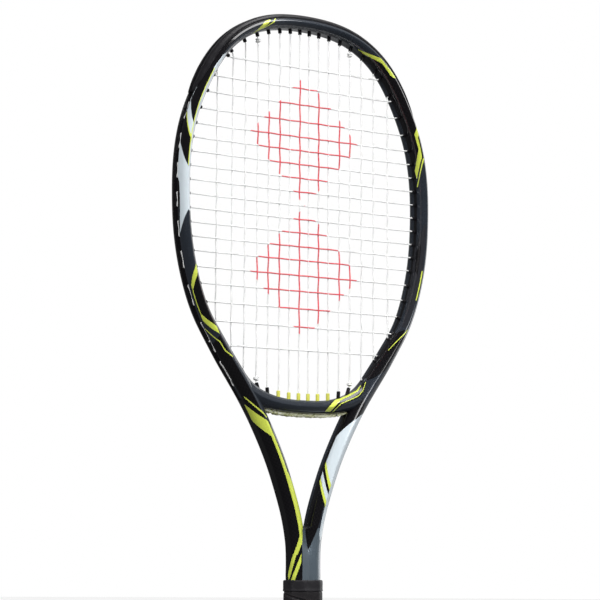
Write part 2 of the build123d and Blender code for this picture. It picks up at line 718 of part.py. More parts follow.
HINGE_Y, HINGE_Z, HINGE_R = 8.1, 1.25, 0.95
with BuildPart() as butt_cap:
    for z, hx, hy in ((0.0, CAP_HALF[0], CAP_HALF[1]), (5.0, CAP_HALF[0], CAP_HALF[1])):
        with BuildSketch(Plane.XY.offset(z)):
            with BuildLine():
                Polyline(*octagon(hx, hy), close=True)
            make_face()
            fillet(vertices(), 2.4)
    loft()
    for z, hx, hy in ((5.0, CAP_HALF[0], CAP_HALF[1]), (CAP_H, GRIP_HALF[0] + 0.3, GRIP_HALF[1] + 0.3)):
        with BuildSketch(Plane.XY.offset(z)):
            with BuildLine():
                Polyline(*octagon(hx, hy), close=True)
            make_face()
            fillet(vertices(), 2.4)
    loft()
    fillet(edges().group_by(Axis.Z)[0], 1.0)
    with BuildSketch(Plane.XY.offset(PALLET_LOW - 0.15)):
        with BuildLine():
            Polyline(*octagon(PALLET_HALF[0] + 0.1, PALLET_HALF[1] + 0.1), close=True)
        make_face()
    extrude(amount=30.0, mode=Mode.SUBTRACT)
    with BuildSketch(Plane.XY.offset(-1.0)):
        with Locations((0, (DOOR_EDGE + 0.65 - DOOR_HALF[1] - 0.3) / 2)):
            Rectangle(2 * (DOOR_HALF[0] + 0.3), DOOR_EDGE + 0.65 + DOOR_HALF[1] + 0.3)
    extrude(amount=8.0, mode=Mode.SUBTRACT)
    with BuildSketch(Plane.XY.offset(-1.0)):
        with Locations((0, HINGE_Y)):
            Rectangle(2 * 4.4, 2 * (HINGE_R + 0.35))
        with Locations((0, HINGE_Y - 1.5)):
            Rectangle(2 * 3.9, 3.0)
    extrude(amount=8.0, mode=Mode.SUBTRACT)
    # hinge pin, moulded across the slot
    with Locations(Plane(origin=(0, HINGE_Y, HINGE_Z), z_dir=(1, 0, 0))):
        Cylinder(0.45, 9.6)
finish(butt_cap, "butt_cap")

with BuildPart() as butt_cap_door:
    with Locations((0, (DOOR_EDGE - DOOR_HALF[1]) / 2, 0.25)):
        Box(2 * DOOR_HALF[0], DOOR_EDGE + DOOR_HALF[1], 1.7, align=(Align.CENTER, Align.CENTER, Align.MIN))
    with Locations((0, (DOOR_EDGE - 0.4 + HINGE_Y) / 2, 0.55)):
        Box(7.2, HINGE_Y - DOOR_EDGE + 0.4, 1.2, align=(Align.CENTER, Align.CENTER, Align.MIN))
    with Locations(Plane(origin=(0, HINGE_Y, HINGE_Z), z_dir=(1, 0, 0))):
        Cylinder(HINGE_R, 8.2)
        Cylinder(0.50, 9.0, mode=Mode.SUBTRACT)
    # finger nick
    with Locations((0, -DOOR_HALF[1], 0.25)):
        Cylinder(1.6, 1.2, mode=Mode.SUBTRACT)
finish(butt_cap_door, "butt_cap_door")

# two staples through the cap's wide sides into the pallets
with BuildPart() as butt_cap_staples:
    for sy in (-1, 1):
        y0 = 15.35
        with Locations((0, sy * (y0 + 0.35), 18.0)):
            Box(9.0, 0.6, 0.9)
        for sx in (-1, 1):
            with Locations((sx * 4.2, sy * (y0 - 2.6), 18.0)):
                Box(0.6, 6.0, 0.9)
finish(butt_cap_staples, "butt_cap_staples")
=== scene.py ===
import math

import bpy
import numpy as np
from mathutils import Matrix, Vector


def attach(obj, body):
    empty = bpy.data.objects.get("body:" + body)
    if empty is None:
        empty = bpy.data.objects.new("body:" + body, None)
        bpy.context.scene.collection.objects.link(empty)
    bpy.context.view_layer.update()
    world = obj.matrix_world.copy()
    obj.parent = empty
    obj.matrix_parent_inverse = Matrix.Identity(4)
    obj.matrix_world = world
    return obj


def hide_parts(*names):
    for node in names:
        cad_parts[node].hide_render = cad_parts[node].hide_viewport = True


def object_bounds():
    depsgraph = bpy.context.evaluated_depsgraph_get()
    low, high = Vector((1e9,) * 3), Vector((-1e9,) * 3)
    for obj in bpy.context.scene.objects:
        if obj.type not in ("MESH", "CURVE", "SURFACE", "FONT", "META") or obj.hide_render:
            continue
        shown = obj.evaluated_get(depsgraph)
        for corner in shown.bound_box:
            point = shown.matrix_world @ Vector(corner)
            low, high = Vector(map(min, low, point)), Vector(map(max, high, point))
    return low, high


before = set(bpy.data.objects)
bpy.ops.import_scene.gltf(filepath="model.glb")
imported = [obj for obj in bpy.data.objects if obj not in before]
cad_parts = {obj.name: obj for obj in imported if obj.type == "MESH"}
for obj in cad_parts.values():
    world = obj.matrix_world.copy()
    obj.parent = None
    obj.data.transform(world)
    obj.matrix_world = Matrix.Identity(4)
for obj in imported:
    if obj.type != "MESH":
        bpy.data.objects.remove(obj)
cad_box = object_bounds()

# Everything is worked out in millimetres in the racket's own frame, and scaled on the way out:
# +Z from the butt to the head, +X across the head, +Y through the string bed.
MM = 0.001
Z_BED = 511.0

# ------------------------------------------------------------------ camera
YAW, PITCH, ROLL = (math.radians(v) for v in (33.39242507, -6.98656865, 0.23391413))
cy, sy, cp, sp, cr, sr = (math.cos(YAW), math.sin(YAW), math.cos(PITCH), math.sin(PITCH),
                          math.cos(ROLL), math.sin(ROLL))
RZ = np.array([[cy, -sy, 0], [sy, cy, 0], [0, 0, 1]])
RX = np.array([[1, 0, 0], [0, cp, -sp], [0, sp, cp]])
RY = np.array([[cr, 0, sr], [0, 1, 0], [-sr, 0, cr]])
R = RY @ RX @ RZ                      # rows: right, forward, up
EYE = np.array([-1.02451645, -1.54777585, 0.20108022])
FOCAL = 600.0 * 126.0 / 36.0

cam_data = bpy.data.cameras.new("camera")
cam_data.lens, cam_data.sensor_width, cam_data.shift_x, cam_data.shift_y = 126.0, 36.0, 0.0, 0.0
cam_data.dof.use_dof = False
cam_data.clip_start, cam_data.clip_end = 0.05, 60.0
cam = bpy.data.objects.new("camera", cam_data)
bpy.context.scene.collection.objects.link(cam)
cols = np.column_stack([R[0], R[2], -R[1]])
m = Matrix.Identity(4)
for i in range(3):
    for j in range(3):
        m[i][j] = cols[i][j]
    m[i][3] = EYE[i]
cam.matrix_world = m
bpy.context.scene.camera = cam


def project(p):
    """Place in the 600 x 600 frame of points in millimetres."""
    q = (np.asarray(p) * MM - EYE) @ R.T
    return np.stack([300.0 + FOCAL * q[..., 0] / q[..., 1], 300.0 - FOCAL * q[..., 2] / q[..., 1]], -1)


# ------------------------------------------------------------------ the racket's curves
LEG = [
    (0.0, 167.2, 5.15, 11.2), (22.0, 166.1, 5.15, 11.2), (43.5, 162.0, 5.15, 11.4),
    (81.1, 140.4, 5.20, 11.8), (105.6, 105.6, 5.30, 12.2), (120.5, 69.6, 5.25, 12.6),
    (126.9, 34.0, 5.20, 12.8), (127.7, 0.0, 5.20, 12.8), (125.4, -33.6, 5.25, 12.8),
    (118.4, -68.4, 5.35, 12.5), (104.4, -104.4, 5.75, 12.1), (94.0, -120.9, 6.35, 11.9),
    (81.8, -139.0, 6.95, 11.7), (68.8, -157.0, 7.30, 11.5), (57.6, -173.5, 7.30, 11.4),
    (47.7, -190.1, 7.20, 11.4), (36.7, -211.0, 7.15, 11.3), (27.2, -232.0, 7.20, 11.2),
    (19.4, -253.0, 7.25, 11.1), (14.8, -267.0, 7.30, 11.0), (11.4, -280.0, 7.35, 10.9),
    (9.4, -290.0, 7.45, 10.8), (8.0, -300.0, 7.60, 10.6), (7.45, -310.0, 7.75, 10.5),
    (7.40, -320.0, 7.75, 10.5), (7.40, -329.0, 7.72, 10.5), (7.08, -337.0, 6.92, 10.1),
    (6.80, -346.0, 6.40, 9.75), (6.67, -355.0, 6.22, 9.62), (6.65, -364.0, 6.20, 9.6), (6.65, -390.0, 6.20, 9.6), (6.65, -430.0, 6.20, 9.6),
    (6.65, -470.0, 6.20, 9.6), (6.65, -507.0, 6.20, 9.6),
]
BRIDGE = [
    (0.0, -178.0, 5.8, 10.2), (20.0, -177.4, 5.9, 10.2), (36.0, -175.2, 6.5, 10.3),
    (49.5, -171.6, 7.6, 10.5), (62.0, -165.0, 8.6, 10.7), (73.0, -153.5, 8.6, 10.9),
]
HALF_MAINS = [5.03, 15.3, 26.3, 38.0, 49.6, 62.5, 75.8, 91.7]
CROSSES = [127.7, 109.0, 94.1, 78.6, 64.55, 52.1, 39.6, 27.0, 14.6, 2.2, -10.2,
           -22.5, -34.9, -47.2, -60.9, -75.0, -90.7, -107.0, -127.7]
# string ends of the right half: bend point x z, way out x z, length to the loop, barrel length, s
TOP_ENDS = [
    (5.03, 157.296, 0.016, 1.0, 14.001, 12.7, 5.157), (15.3, 156.815, 0.053, 0.999, 14.003, 12.703, 15.747),
    (26.3, 155.636, 0.103, 0.995, 14.009, 12.709, 27.234), (38.0, 153.31, 0.183, 0.983, 14.03, 12.727, 39.847),
    (49.6, 149.36, 0.285, 0.959, 14.082, 12.775, 52.908), (62.5, 142.531, 0.403, 0.915, 14.185, 12.873, 68.404),
    (75.8, 131.717, 0.546, 0.837, 14.382, 13.06, 86.826), (91.7, 112.504, 0.687, 0.726, 13.506, 12.165, 113.367)]
LOW_ENDS = [
    (5.03, -164.582, -0.0, -1.0, 20.499, 18.599, 4.965), (15.3, -164.283, -0.0, -1.0, 20.567, 18.666, 14.952),
    (26.3, -163.211, -0.0, -1.0, 20.92, 19.012, 25.468), (38.0, -160.913, -0.06, -0.998, 22.092, 20.159, 35.381),
    (49.6, -157.355, -0.322, -0.947, 26.389, 24.25, 39.588), (62.5, -149.6, 0.6, -0.8, 16.521, 15.153, 412.979),
    (75.8, -130.52, 0.653, -0.757, 16.237, 14.889, 388.586), (91.7, -109.544, 0.33, -0.944, 17.083, 15.412, 368.413)]
SIDE_ENDS = [
    (79.479, 127.7, 0.869, 0.495, 14.386, 13.067, 98.502), (93.744, 109.0, 0.93, 0.367, 13.208, 11.895, 122.912),
    (100.191, 94.1, 0.947, 0.32, 14.405, 13.095, 139.537), (106.946, 78.6, 0.966, 0.26, 14.318, 13.012, 156.941),
    (111.593, 64.55, 0.981, 0.191, 14.224, 12.922, 172.352), (114.471, 52.1, 0.991, 0.133, 14.161, 12.86, 185.618),
    (116.38, 39.6, 0.996, 0.084, 14.118, 12.817, 198.649), (117.479, 27.0, 0.999, 0.042, 14.094, 12.794, 211.631),
    (117.906, 14.6, 1.0, 0.009, 14.088, 12.788, 224.308), (117.846, 2.2, 1.0, -0.014, 14.097, 12.798, 236.896),
    (117.429, -10.2, 0.999, -0.034, 14.122, 12.822, 249.459),
    (116.596, -22.5, 0.998, -0.062, 14.162, 12.862, 262.015),
    (115.184, -34.9, 0.995, -0.099, 14.221, 12.921, 274.811),
    (113.107, -47.2, 0.991, -0.137, 14.298, 12.996, 287.613),
    (110.002, -60.9, 0.984, -0.178, 14.397, 13.094, 301.987),
    (105.924, -75.0, 0.975, -0.223, 14.518, 13.215, 316.987), (99.8, -90.7, 0.954, -0.3, 14.856, 13.55, 334.463),
    (93.449, -107.0, 0.981, -0.194, 13.766, 12.4, 350.02), (77.832, -127.7, 0.908, -0.419, 15.589, 14.278, 378.462)]
S_GROOVE, S_RAILS, S_BUMPER = 427.28, 148.14, 162.61
WEAVE, STRING_R = 0.69, 0.65
GROOVE_DEEP, LOW_DEEP, LOW_RAIL, LIP = 2.8, 1.7, 3.6, 1.3
LOOP_IN, LOOP_LOW = 1.9, -1.3
BULGE = 0.68


class Spline:
    """Natural cubic spline through the rows of v at t."""

    def __init__(self, t, v):
        t, v = np.asarray(t, float), np.asarray(v, float)
        n, h = len(t), np.diff(t)
        a, r = np.zeros((n, n)), np.zeros_like(v)
        a[0, 0] = a[-1, -1] = 1
        for i in range(1, n - 1):
            a[i, i - 1], a[i, i], a[i, i + 1] = h[i - 1], 2 * (h[i - 1] + h[i]), h[i]
            r[i] = 6 * ((v[i + 1] - v[i]) / h[i] - (v[i] - v[i - 1]) / h[i - 1])
        self.t, self.v, self.m, self.h = t, v, np.linalg.solve(a, r), h

    def __call__(self, x):
        x = np.asarray(x, float)
        k = np.clip(np.searchsorted(self.t, x) - 1, 0, len(self.h) - 1)
        h = self.h[k]
        a, b = ((self.t[k + 1] - x) / h)[..., None], ((x - self.t[k]) / h)[..., None]
        h = h[..., None]
        return (a * self.v[k] + b * self.v[k + 1]
                + ((a ** 3 - a) * self.m[k] + (b ** 3 - b) * self.m[k + 1]) * h ** 2 / 6)


class Line2:
    def __init__(self, half):
        pts = np.array([(-x, z, a, b) for x, z, a, b in half[:0:-1]] + list(half))
        t = np.concatenate([[0], np.cumsum(np.hypot(*np.diff(pts[:, :2], axis=0).T))])
        self.end = t[-1] / 2
        self.f = Spline(t - self.end, pts)

    def frame(self, s):
        """x, z, tangent, outward normal, half width and half thickness at s."""
        p, p0, p1 = self.f(s), self.f(np.asarray(s) - 0.05), self.f(np.asarray(s) + 0.05)
        d = (p1 - p0)[..., :2]
        d = d / np.linalg.norm(d, axis=-1, keepdims=True)
        return p[..., 0], p[..., 1], d[..., 0], d[..., 1], -d[..., 1], d[..., 0], p[..., 2], p[..., 3]


leg, arc = Line2(LEG), Line2(BRIDGE)


def step(x, lo, hi):
    t = np.clip((x - lo) / (hi - lo), 0, 1)
    return t * t * (3 - 2 * t)


# ------------------------------------------------------------------ mesh building
def new_object(name, verts, faces, materials, index=None, floats=None, vectors=None, colours=None,
               sharp=35.0, smooth=True):
    """A mesh object in metres from points in millimetres, with named attributes per vertex."""
    verts = np.asarray(verts, float) * MM
    if not name.startswith("studio"):
        verts = np.clip(verts, np.array(cad_box[0]) + 2e-6, np.array(cad_box[1]) - 2e-6)
    mesh = bpy.data.meshes.new(name)
    mesh.from_pydata(verts.tolist(), [], [tuple(f) for f in faces])
    mesh.validate()
    for mat in materials:
        mesh.materials.append(mat)
    if index is not None and len(index) == len(mesh.polygons):
        mesh.polygons.foreach_set("material_index", np.asarray(index, np.int32))
    for key, val in (floats or {}).items():
        at = mesh.attributes.new(key, "FLOAT", "POINT")
        at.data.foreach_set("value", np.asarray(val, np.float32).ravel())
    for key, val in (vectors or {}).items():
        at = mesh.attributes.new(key, "FLOAT_VECTOR", "POINT")
        at.data.foreach_set("vector", np.asarray(val, np.float32).ravel())
    for key, val in (colours or {}).items():
        at = mesh.attributes.new(key, "FLOAT_COLOR", "POINT")
        rgba = np.ones((len(verts), 4), np.float32)
        rgba[:, :3] = val
        at.data.foreach_set("color", rgba.ravel())
    mesh.update()
    if smooth:
        mesh.shade_smooth()
        mesh.set_sharp_from_angle(angle=math.radians(sharp))
    obj = bpy.data.objects.new(name, mesh)
    bpy.context.scene.collection.objects.link(obj)
    return obj


def volume(verts, faces):
    v = np.asarray(verts, float)
    total = 0.0
    for f in faces:
        a = v[f[0]]
        for k in range(1, len(f) - 1):
            total += np.dot(a, np.cross(v[f[k]], v[f[k + 1]]))
    return total


def tube_faces(rows, cols, base=0, closed=True, loop=False):
    """Quads of a grid of rows x cols, round each row."""
    r = np.arange(rows if loop else rows - 1)
    c = np.arange(cols if closed else cols - 1)
    rr, cc = np.meshgrid(r, c, indexing="ij")
    r2, c2 = (rr + 1) % rows, (cc + 1) % cols
    q = np.stack([rr * cols + cc, rr * cols + c2, r2 * cols + c2, r2 * cols + cc], -1).reshape(-1, 4)
    return q + base


def sweep_grid(p, cap=True, centre0=None, centre1=None):
    """Verts and faces of a closed tube from a grid of points (rows, cols, 3), facing out."""
    rows, cols = p.shape[:2]
    verts = p.reshape(-1, 3)
    faces = tube_faces(rows, cols).tolist()
    if cap:
        c0 = p[0].mean(0) if centre0 is None else centre0
        c1 = p[-1].mean(0) if centre1 is None else centre1
        verts = np.vstack([verts, c0, c1])
        a, b, n = rows * cols, rows * cols + 1, (rows - 1) * cols
        faces += [[a, (k + 1) % cols, k] for k in range(cols)]
        faces += [[b, n + k, n + (k + 1) % cols] for k in range(cols)]
    k = max(1, len(faces) // 4000)
    quads = np.array([f for f in faces if len(f) == 4])
    va, vb, vc, vd = (verts[quads[:, i]] for i in range(4))
    vol = (np.einsum("ij,ij->i", va, np.cross(vb, vc)) + np.einsum("ij,ij->i", va, np.cross(vc, vd))).sum()
    tri = [f for f in faces if len(f) == 3]
    if tri:
        tri = np.array(tri)
        vol += np.einsum("ij,ij->i", verts[tri[:, 0]], np.cross(verts[tri[:, 1]], verts[tri[:, 2]])).sum()
    if vol < 0:
        faces = [f[::-1] for f in faces]
    return verts, faces


def join(parts):
    """Joins (verts, faces) pairs, and says how many verts and faces each had."""
    verts, faces, nv, nf, base = [], [], [], [], 0
    for v, f in parts:
        verts.append(np.asarray(v, float))
        faces += [[i + base for i in q] for q in f]
        nv.append(len(v)), nf.append(len(f))
        base += len(v)
    return np.vstack(verts), faces, nv, nf


def finish_piece(obj, body, slot, *nodes):
    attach(obj, body)
    if nodes:
        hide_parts(*nodes)
    return obj


# ------------------------------------------------------------------ material building
def material(name):
    mat = bpy.data.materials.new(name)
    mat.use_nodes = True
    nt = mat.node_tree
    nt.nodes.clear()
    out = nt.nodes.new("ShaderNodeOutputMaterial")
    sh = nt.nodes.new("ShaderNodeBsdfPrincipled")
    nt.links.new(sh.outputs[0], out.inputs[0])
    return mat, nt, sh


def lin(r, g, b):
    """sRGB 0-255 to linear."""
    return tuple((c / 255 / 12.92) if c <= 10 else ((c / 255 + 0.055) / 1.055) ** 2.4 for c in (r, g, b))


def node(nt, kind, **values):
    n = nt.nodes.new(kind)
    for k, v in values.items():
        if k.startswith("in_"):
            key = k[3:]
            n.inputs[int(key) if key.isdigit() else key.replace("_", " ")].default_value = v
        else:
            setattr(n, k, v)
    return n


def attr(nt, name):
    return node(nt, "ShaderNodeAttribute", attribute_name=name)


def math_node(nt, op, a, b=None, clamp=False):
    n = node(nt, "ShaderNodeMath", operation=op, use_clamp=clamp)
    for i, v in enumerate((a, b)):
        if v is None:
            continue
        if isinstance(v, (int, float)):
            n.inputs[i].default_value = v
        else:
            nt.links.new(v, n.inputs[i])
    return n.outputs[0]


def ranged(nt, value, lo, hi, to_lo=0.0, to_hi=1.0):
    n = node(nt, "ShaderNodeMapRange", clamp=True)
    n.inputs[1].default_value, n.inputs[2].default_value = lo, hi
    n.inputs[3].default_value, n.inputs[4].default_value = to_lo, to_hi
    nt.links.new(value, n.inputs[0])
    return n.outputs[0]


def mixed(nt, factor, a, b):
    n = node(nt, "ShaderNodeMix", data_type="RGBA")
    for sock, v in ((n.inputs[0], factor), (n.inputs[6], a), (n.inputs[7], b)):
        if isinstance(v, (int, float)):
            sock.default_value = v
        elif isinstance(v, tuple):
            sock.default_value = (*v[:3], 1.0)
        else:
            nt.links.new(v, sock)
    return n.outputs[2]


def coords(nt, kind="Object", scale=None):
    c = node(nt, "ShaderNodeTexCoord")
    out = c.outputs[kind]
    if scale is not None:
        mp = node(nt, "ShaderNodeMapping")
        mp.inputs["Scale"].default_value = scale
        nt.links.new(out, mp.inputs["Vector"])
        out = mp.outputs[0]
    return out


def noise(nt, vector, scale, detail=2.0, rough=0.5, which=0):
    n = node(nt, "ShaderNodeTexNoise")
    n.inputs["Scale"].default_value, n.inputs["Detail"].default_value = scale, detail
    n.inputs["Roughness"].default_value = rough
    nt.links.new(vector, n.inputs["Vector"])
    return n.outputs[which]


def bumped(nt, sh, height, strength, distance, normal=None):
    b = node(nt, "ShaderNodeBump")
    b.inputs["Strength"].default_value, b.inputs["Distance"].default_value = strength, distance
    nt.links.new(height, b.inputs["Height"])
    if normal is not None:
        nt.links.new(normal, b.inputs["Normal"])
    nt.links.new(b.outputs[0], sh.inputs["Normal"])
    return b.outputs[0]


SLATE = lin(43, 48, 56)
PANEL = lin(92, 103, 112)
GREY = lin(48, 49, 54)
BLACK = lin(15, 14, 17)
LIME = lin(200, 212, 84)
PALE = lin(198, 208, 214)


def paint_material():
    """Lacquered composite: metallic slate and carbon-black grounds, lime and pale grey decals under clear coat."""
    mat, nt, sh = material("painted_composite_look")
    edge = 0.05
    obj = coords(nt)
    sw = attr(nt, "sw").outputs["Vector"]
    # carbon twill: fine diagonal ribs that show in the black ground
    wave = node(nt, "ShaderNodeTexWave", wave_type="BANDS", bands_direction="DIAGONAL")
    wave.inputs["Scale"].default_value, wave.inputs["Distortion"].default_value = 0.55, 0.25
    wave.inputs["Detail"].default_value = 1.0
    nt.links.new(sw, wave.inputs["Vector"])
    check = node(nt, "ShaderNodeTexChecker")
    check.inputs["Scale"].default_value = 0.5
    check.inputs["Color1"].default_value, check.inputs["Color2"].default_value = (1, 1, 1, 1), (0.25, 0.25, 0.25, 1)
    nt.links.new(sw, check.inputs["Vector"])
    weave = math_node(nt, "MULTIPLY", wave.outputs["Fac"], check.outputs["Fac"])
    # metallic flake and slow drift of tone
    flake = ranged(nt, noise(nt, obj, 5200.0, 1.0), 0.50, 0.72)
    drift = noise(nt, obj, 38.0, 3.0, 0.6)
    slate = mixed(nt, ranged(nt, drift, 0.3, 0.7), tuple(c * 0.94 for c in SLATE), tuple(c * 1.06 for c in SLATE))
    slate = mixed(nt, math_node(nt, "MULTIPLY", flake, 0.16), slate, lin(92, 104, 118))
    black = mixed(nt, math_node(nt, "MULTIPLY", weave, 0.6), BLACK, lin(34, 32, 35))
    panel = mixed(nt, math_node(nt, "MULTIPLY", flake, 0.22), PANEL, lin(128, 140, 150))
    pale = mixed(nt, ranged(nt, drift, 0.3, 0.7), tuple(c * 0.95 for c in PALE), PALE)
    lime = mixed(nt, ranged(nt, drift, 0.3, 0.7), tuple(c * 0.93 for c in LIME), LIME)
    black_f = ranged(nt, attr(nt, "f_black").outputs["Fac"], -edge, edge)
    panel_f = ranged(nt, attr(nt, "f_panel").outputs["Fac"], -0.12, 0.12)
    grey_f = ranged(nt, attr(nt, "f_grey").outputs["Fac"], -edge, edge)
    pale_f = ranged(nt, attr(nt, "f_pale").outputs["Fac"], -edge, edge)
    dark_f = ranged(nt, attr(nt, "f_dark").outputs["Fac"], -edge, edge)
    lime_f = ranged(nt, attr(nt, "f_lime").outputs["Fac"], -edge, edge)
    col = mixed(nt, black_f, slate, black)
    col = mixed(nt, grey_f, col, GREY)
    col = mixed(nt, panel_f, col, panel)
    col = mixed(nt, pale_f, col, pale)
    col = mixed(nt, dark_f, col, black)
    col = mixed(nt, lime_f, col, lime)
    # fine dust and rub marks in the lacquer lift the roughness here and there
    scratch = noise(nt, obj, 260.0, 4.0, 0.7)
    rough = ranged(nt, scratch, 0.42, 0.72, 0.20, 0.27)
    metal = math_node(nt, "MULTIPLY", math_node(nt, "SUBTRACT", 1.0, math_node(nt, "MAXIMUM", pale_f, lime_f)), 0.35)
    nt.links.new(col, sh.inputs["Base Color"])
    nt.links.new(rough, sh.inputs["Roughness"])
    nt.links.new(metal, sh.inputs["Metallic"])
    sh.inputs["Coat Weight"].default_value = 0.8
    sh.inputs["Coat Roughness"].default_value = 0.05
    sh.inputs["Specular IOR Level"].default_value = 0.3
    # decals lie a hair proud, the twill shows through as the faintest relief, orange peel over all
    raised = math_node(nt, "ADD", math_node(nt, "MAXIMUM", lime_f, pale_f), math_node(nt, "MULTIPLY", weave, 0.12))
    raised = math_node(nt, "ADD", raised, math_node(nt, "MULTIPLY", noise(nt, obj, 420.0, 2.0), 0.35))
    bumped(nt, sh, raised, 0.2, 0.00005)
    return mat


def nylon(name, colour, dark=0.7, rough=(0.28, 0.45), grain=1900.0, depth=0.00003, coat=0.0, speck=None):
    """Moulded plastic: slight tone drift, fine spark-eroded grain, flow marks."""
    mat, nt, sh = material(name)
    obj = coords(nt)
    drift = noise(nt, obj, 60.0, 3.0, 0.6)
    col = mixed(nt, ranged(nt, drift, 0.3, 0.7), tuple(c * dark for c in colour), colour)
    if speck:
        col = mixed(nt, ranged(nt, noise(nt, obj, 700.0, 4.0, 0.7), 0.56, 0.7), col, speck)
    fine = noise(nt, obj, grain, 2.0, 0.6)
    nt.links.new(col, sh.inputs["Base Color"])
    nt.links.new(ranged(nt, noise(nt, obj, 130.0, 4.0, 0.65), 0.3, 0.7, *rough), sh.inputs["Roughness"])
    sh.inputs["Coat Weight"].default_value = coat
    sh.inputs["Coat Roughness"].default_value = 0.15
    bumped(nt, sh, fine, 0.35, depth)
    return mat


def clear_nylon():
    """Pale translucent lime strip, with the string loops and ribs showing through as olive mottling."""
    mat, nt, sh = material("clear_lime_nylon_look")
    obj = coords(nt, scale=(1.0, 1.0, 2.2))
    veins = node(nt, "ShaderNodeTexNoise")
    veins.inputs["Scale"].default_value, veins.inputs["Detail"].default_value = 190.0, 3.0
    veins.inputs["Distortion"].default_value = 1.6
    nt.links.new(obj, veins.inputs["Vector"])
    col = mixed(nt, ranged(nt, veins.outputs[0], 0.38, 0.62), lin(150, 152, 96), lin(232, 234, 208))
    nt.links.new(col, sh.inputs["Base Color"])
    nt.links.new(ranged(nt, veins.outputs[0], 0.3, 0.7, 0.22, 0.42), sh.inputs["Roughness"])
    sh.inputs["Transmission Weight"].default_value = 0.25
    sh.inputs["Subsurface Weight"].default_value = 0.25
    sh.inputs["Subsurface Radius"].default_value = (0.003, 0.003, 0.0015)
    sh.inputs["Subsurface Scale"].default_value = 1.0
    bumped(nt, sh, veins.outputs[0], 0.5, 0.0004)
    return mat


def string_material():
    """Pearly monofilament with a slight twist in its coating, and the stencilled ink."""
    mat, nt, sh = material("string_look")
    obj = coords(nt)
    ink = ranged(nt, math_node(nt, "ADD", attr(nt, "ink").outputs["Fac"],
                               math_node(nt, "MULTIPLY", noise(nt, obj, 260.0, 3.0), 1.6)), 5.6, 6.0)
    twist = node(nt, "ShaderNodeTexWave", wave_type="BANDS", bands_direction="DIAGONAL")
    twist.inputs["Scale"].default_value, twist.inputs["Distortion"].default_value = 420.0, 0.4
    nt.links.new(obj, twist.inputs["Vector"])
    base = mixed(nt, ranged(nt, noise(nt, obj, 150.0, 2.0), 0.3, 0.7), lin(218, 219, 219), lin(233, 233, 232))
    worn = ranged(nt, noise(nt, obj, 900.0, 3.0, 0.7), 0.36, 0.56, 0.7, 1.0)
    red = mixed(nt, ranged(nt, noise(nt, obj, 320.0, 2.0), 0.3, 0.7), lin(200, 36, 54), lin(222, 56, 74))
    col = mixed(nt, math_node(nt, "MULTIPLY", ink, worn), base, red)
    nt.links.new(col, sh.inputs["Base Color"])
    nt.links.new(ranged(nt, ink, 0.0, 1.0, 0.26, 0.5), sh.inputs["Roughness"])
    sh.inputs["Subsurface Weight"].default_value = 0.2
    sh.inputs["Subsurface Radius"].default_value = (0.001, 0.001, 0.001)
    sh.inputs["Subsurface Scale"].default_value = 1.0
    bumped(nt, sh, twist.outputs["Fac"], 0.12, 0.00005)
    return mat


def grip_material():
    """Black synthetic leather: pebbled skin, rows of pin holes painted near black as painted shade, high edges painted
    lighter as wear and painted sheen.
    """
    mat, nt, sh = material("grip_look")
    obj = coords(nt)
    uvw = attr(nt, "wrap").outputs["Vector"]          # x along the tape, y across it, mm
    hi = attr(nt, "edge").outputs["Fac"]
    pebble = node(nt, "ShaderNodeTexVoronoi", feature="DISTANCE_TO_EDGE")
    pebble.inputs["Scale"].default_value = 1500.0
    nt.links.new(obj, pebble.inputs["Vector"])
    sep = node(nt, "ShaderNodeSeparateXYZ")
    nt.links.new(uvw, sep.inputs[0])
    # pin holes on a 3.2 mm staggered lattice
    hx = math_node(nt, "SINE", math_node(nt, "MULTIPLY", sep.outputs[0], 2 * math.pi / 3.2))
    hy = math_node(nt, "SINE", math_node(nt, "MULTIPLY", sep.outputs[1], 2 * math.pi / 3.2))
    dots = ranged(nt, math_node(nt, "MULTIPLY", hx, hy), 0.80, 0.93)
    col = mixed(nt, ranged(nt, noise(nt, obj, 45.0, 4.0, 0.6), 0.3, 0.7), lin(24, 22, 24), lin(38, 36, 38))
    # the high edges of each turn painted lighter: partly wear, partly painted sheen
    col = mixed(nt, math_node(nt, "MULTIPLY", hi, 0.5), col, lin(58, 55, 57))
    # the pin holes painted near black: painted shade in the holes
    col = mixed(nt, dots, col, lin(6, 6, 6))
    nt.links.new(col, sh.inputs["Base Color"])
    nt.links.new(ranged(nt, noise(nt, obj, 220.0, 3.0, 0.6), 0.3, 0.7, 0.48, 0.66), sh.inputs["Roughness"])
    h = math_node(nt, "SUBTRACT", math_node(nt, "MULTIPLY", ranged(nt, pebble.outputs[0], 0.0, 0.00035), 0.3), dots)
    bumped(nt, sh, h, 0.6, 0.00018)
    return mat


def rubber_material():
    mat, nt, sh = material("collar_rubber_look")
    obj = coords(nt)
    col = mixed(nt, ranged(nt, noise(nt, obj, 90.0, 4.0, 0.6), 0.3, 0.7), lin(26, 25, 28), lin(42, 41, 44))
    dust = ranged(nt, noise(nt, obj, 1500.0, 2.0, 0.7), 0.66, 0.75)
    col = mixed(nt, math_node(nt, "MULTIPLY", dust, 0.35), col, lin(120, 118, 116))
    nt.links.new(col, sh.inputs["Base Color"])
    nt.links.new(ranged(nt, noise(nt, obj, 160.0, 3.0), 0.3, 0.7, 0.45, 0.62), sh.inputs["Roughness"])
    bumped(nt, sh, noise(nt, obj, 2600.0, 2.0), 0.3, 0.00004)
    return mat


def foam_material():
    mat, nt, sh = material("handle_foam_look")
    obj = coords(nt)
    cells = node(nt, "ShaderNodeTexVoronoi", feature="F1")
    cells.inputs["Scale"].default_value = 1100.0
    nt.links.new(obj, cells.inputs["Vector"])
    col = mixed(nt, ranged(nt, noise(nt, obj, 50.0, 4.0), 0.3, 0.7), lin(196, 184, 160), lin(220, 210, 188))
    nt.links.new(col, sh.inputs["Base Color"])
    sh.inputs["Roughness"].default_value = 0.85
    bumped(nt, sh, cells.outputs[0], 0.6, 0.0002)
    return mat


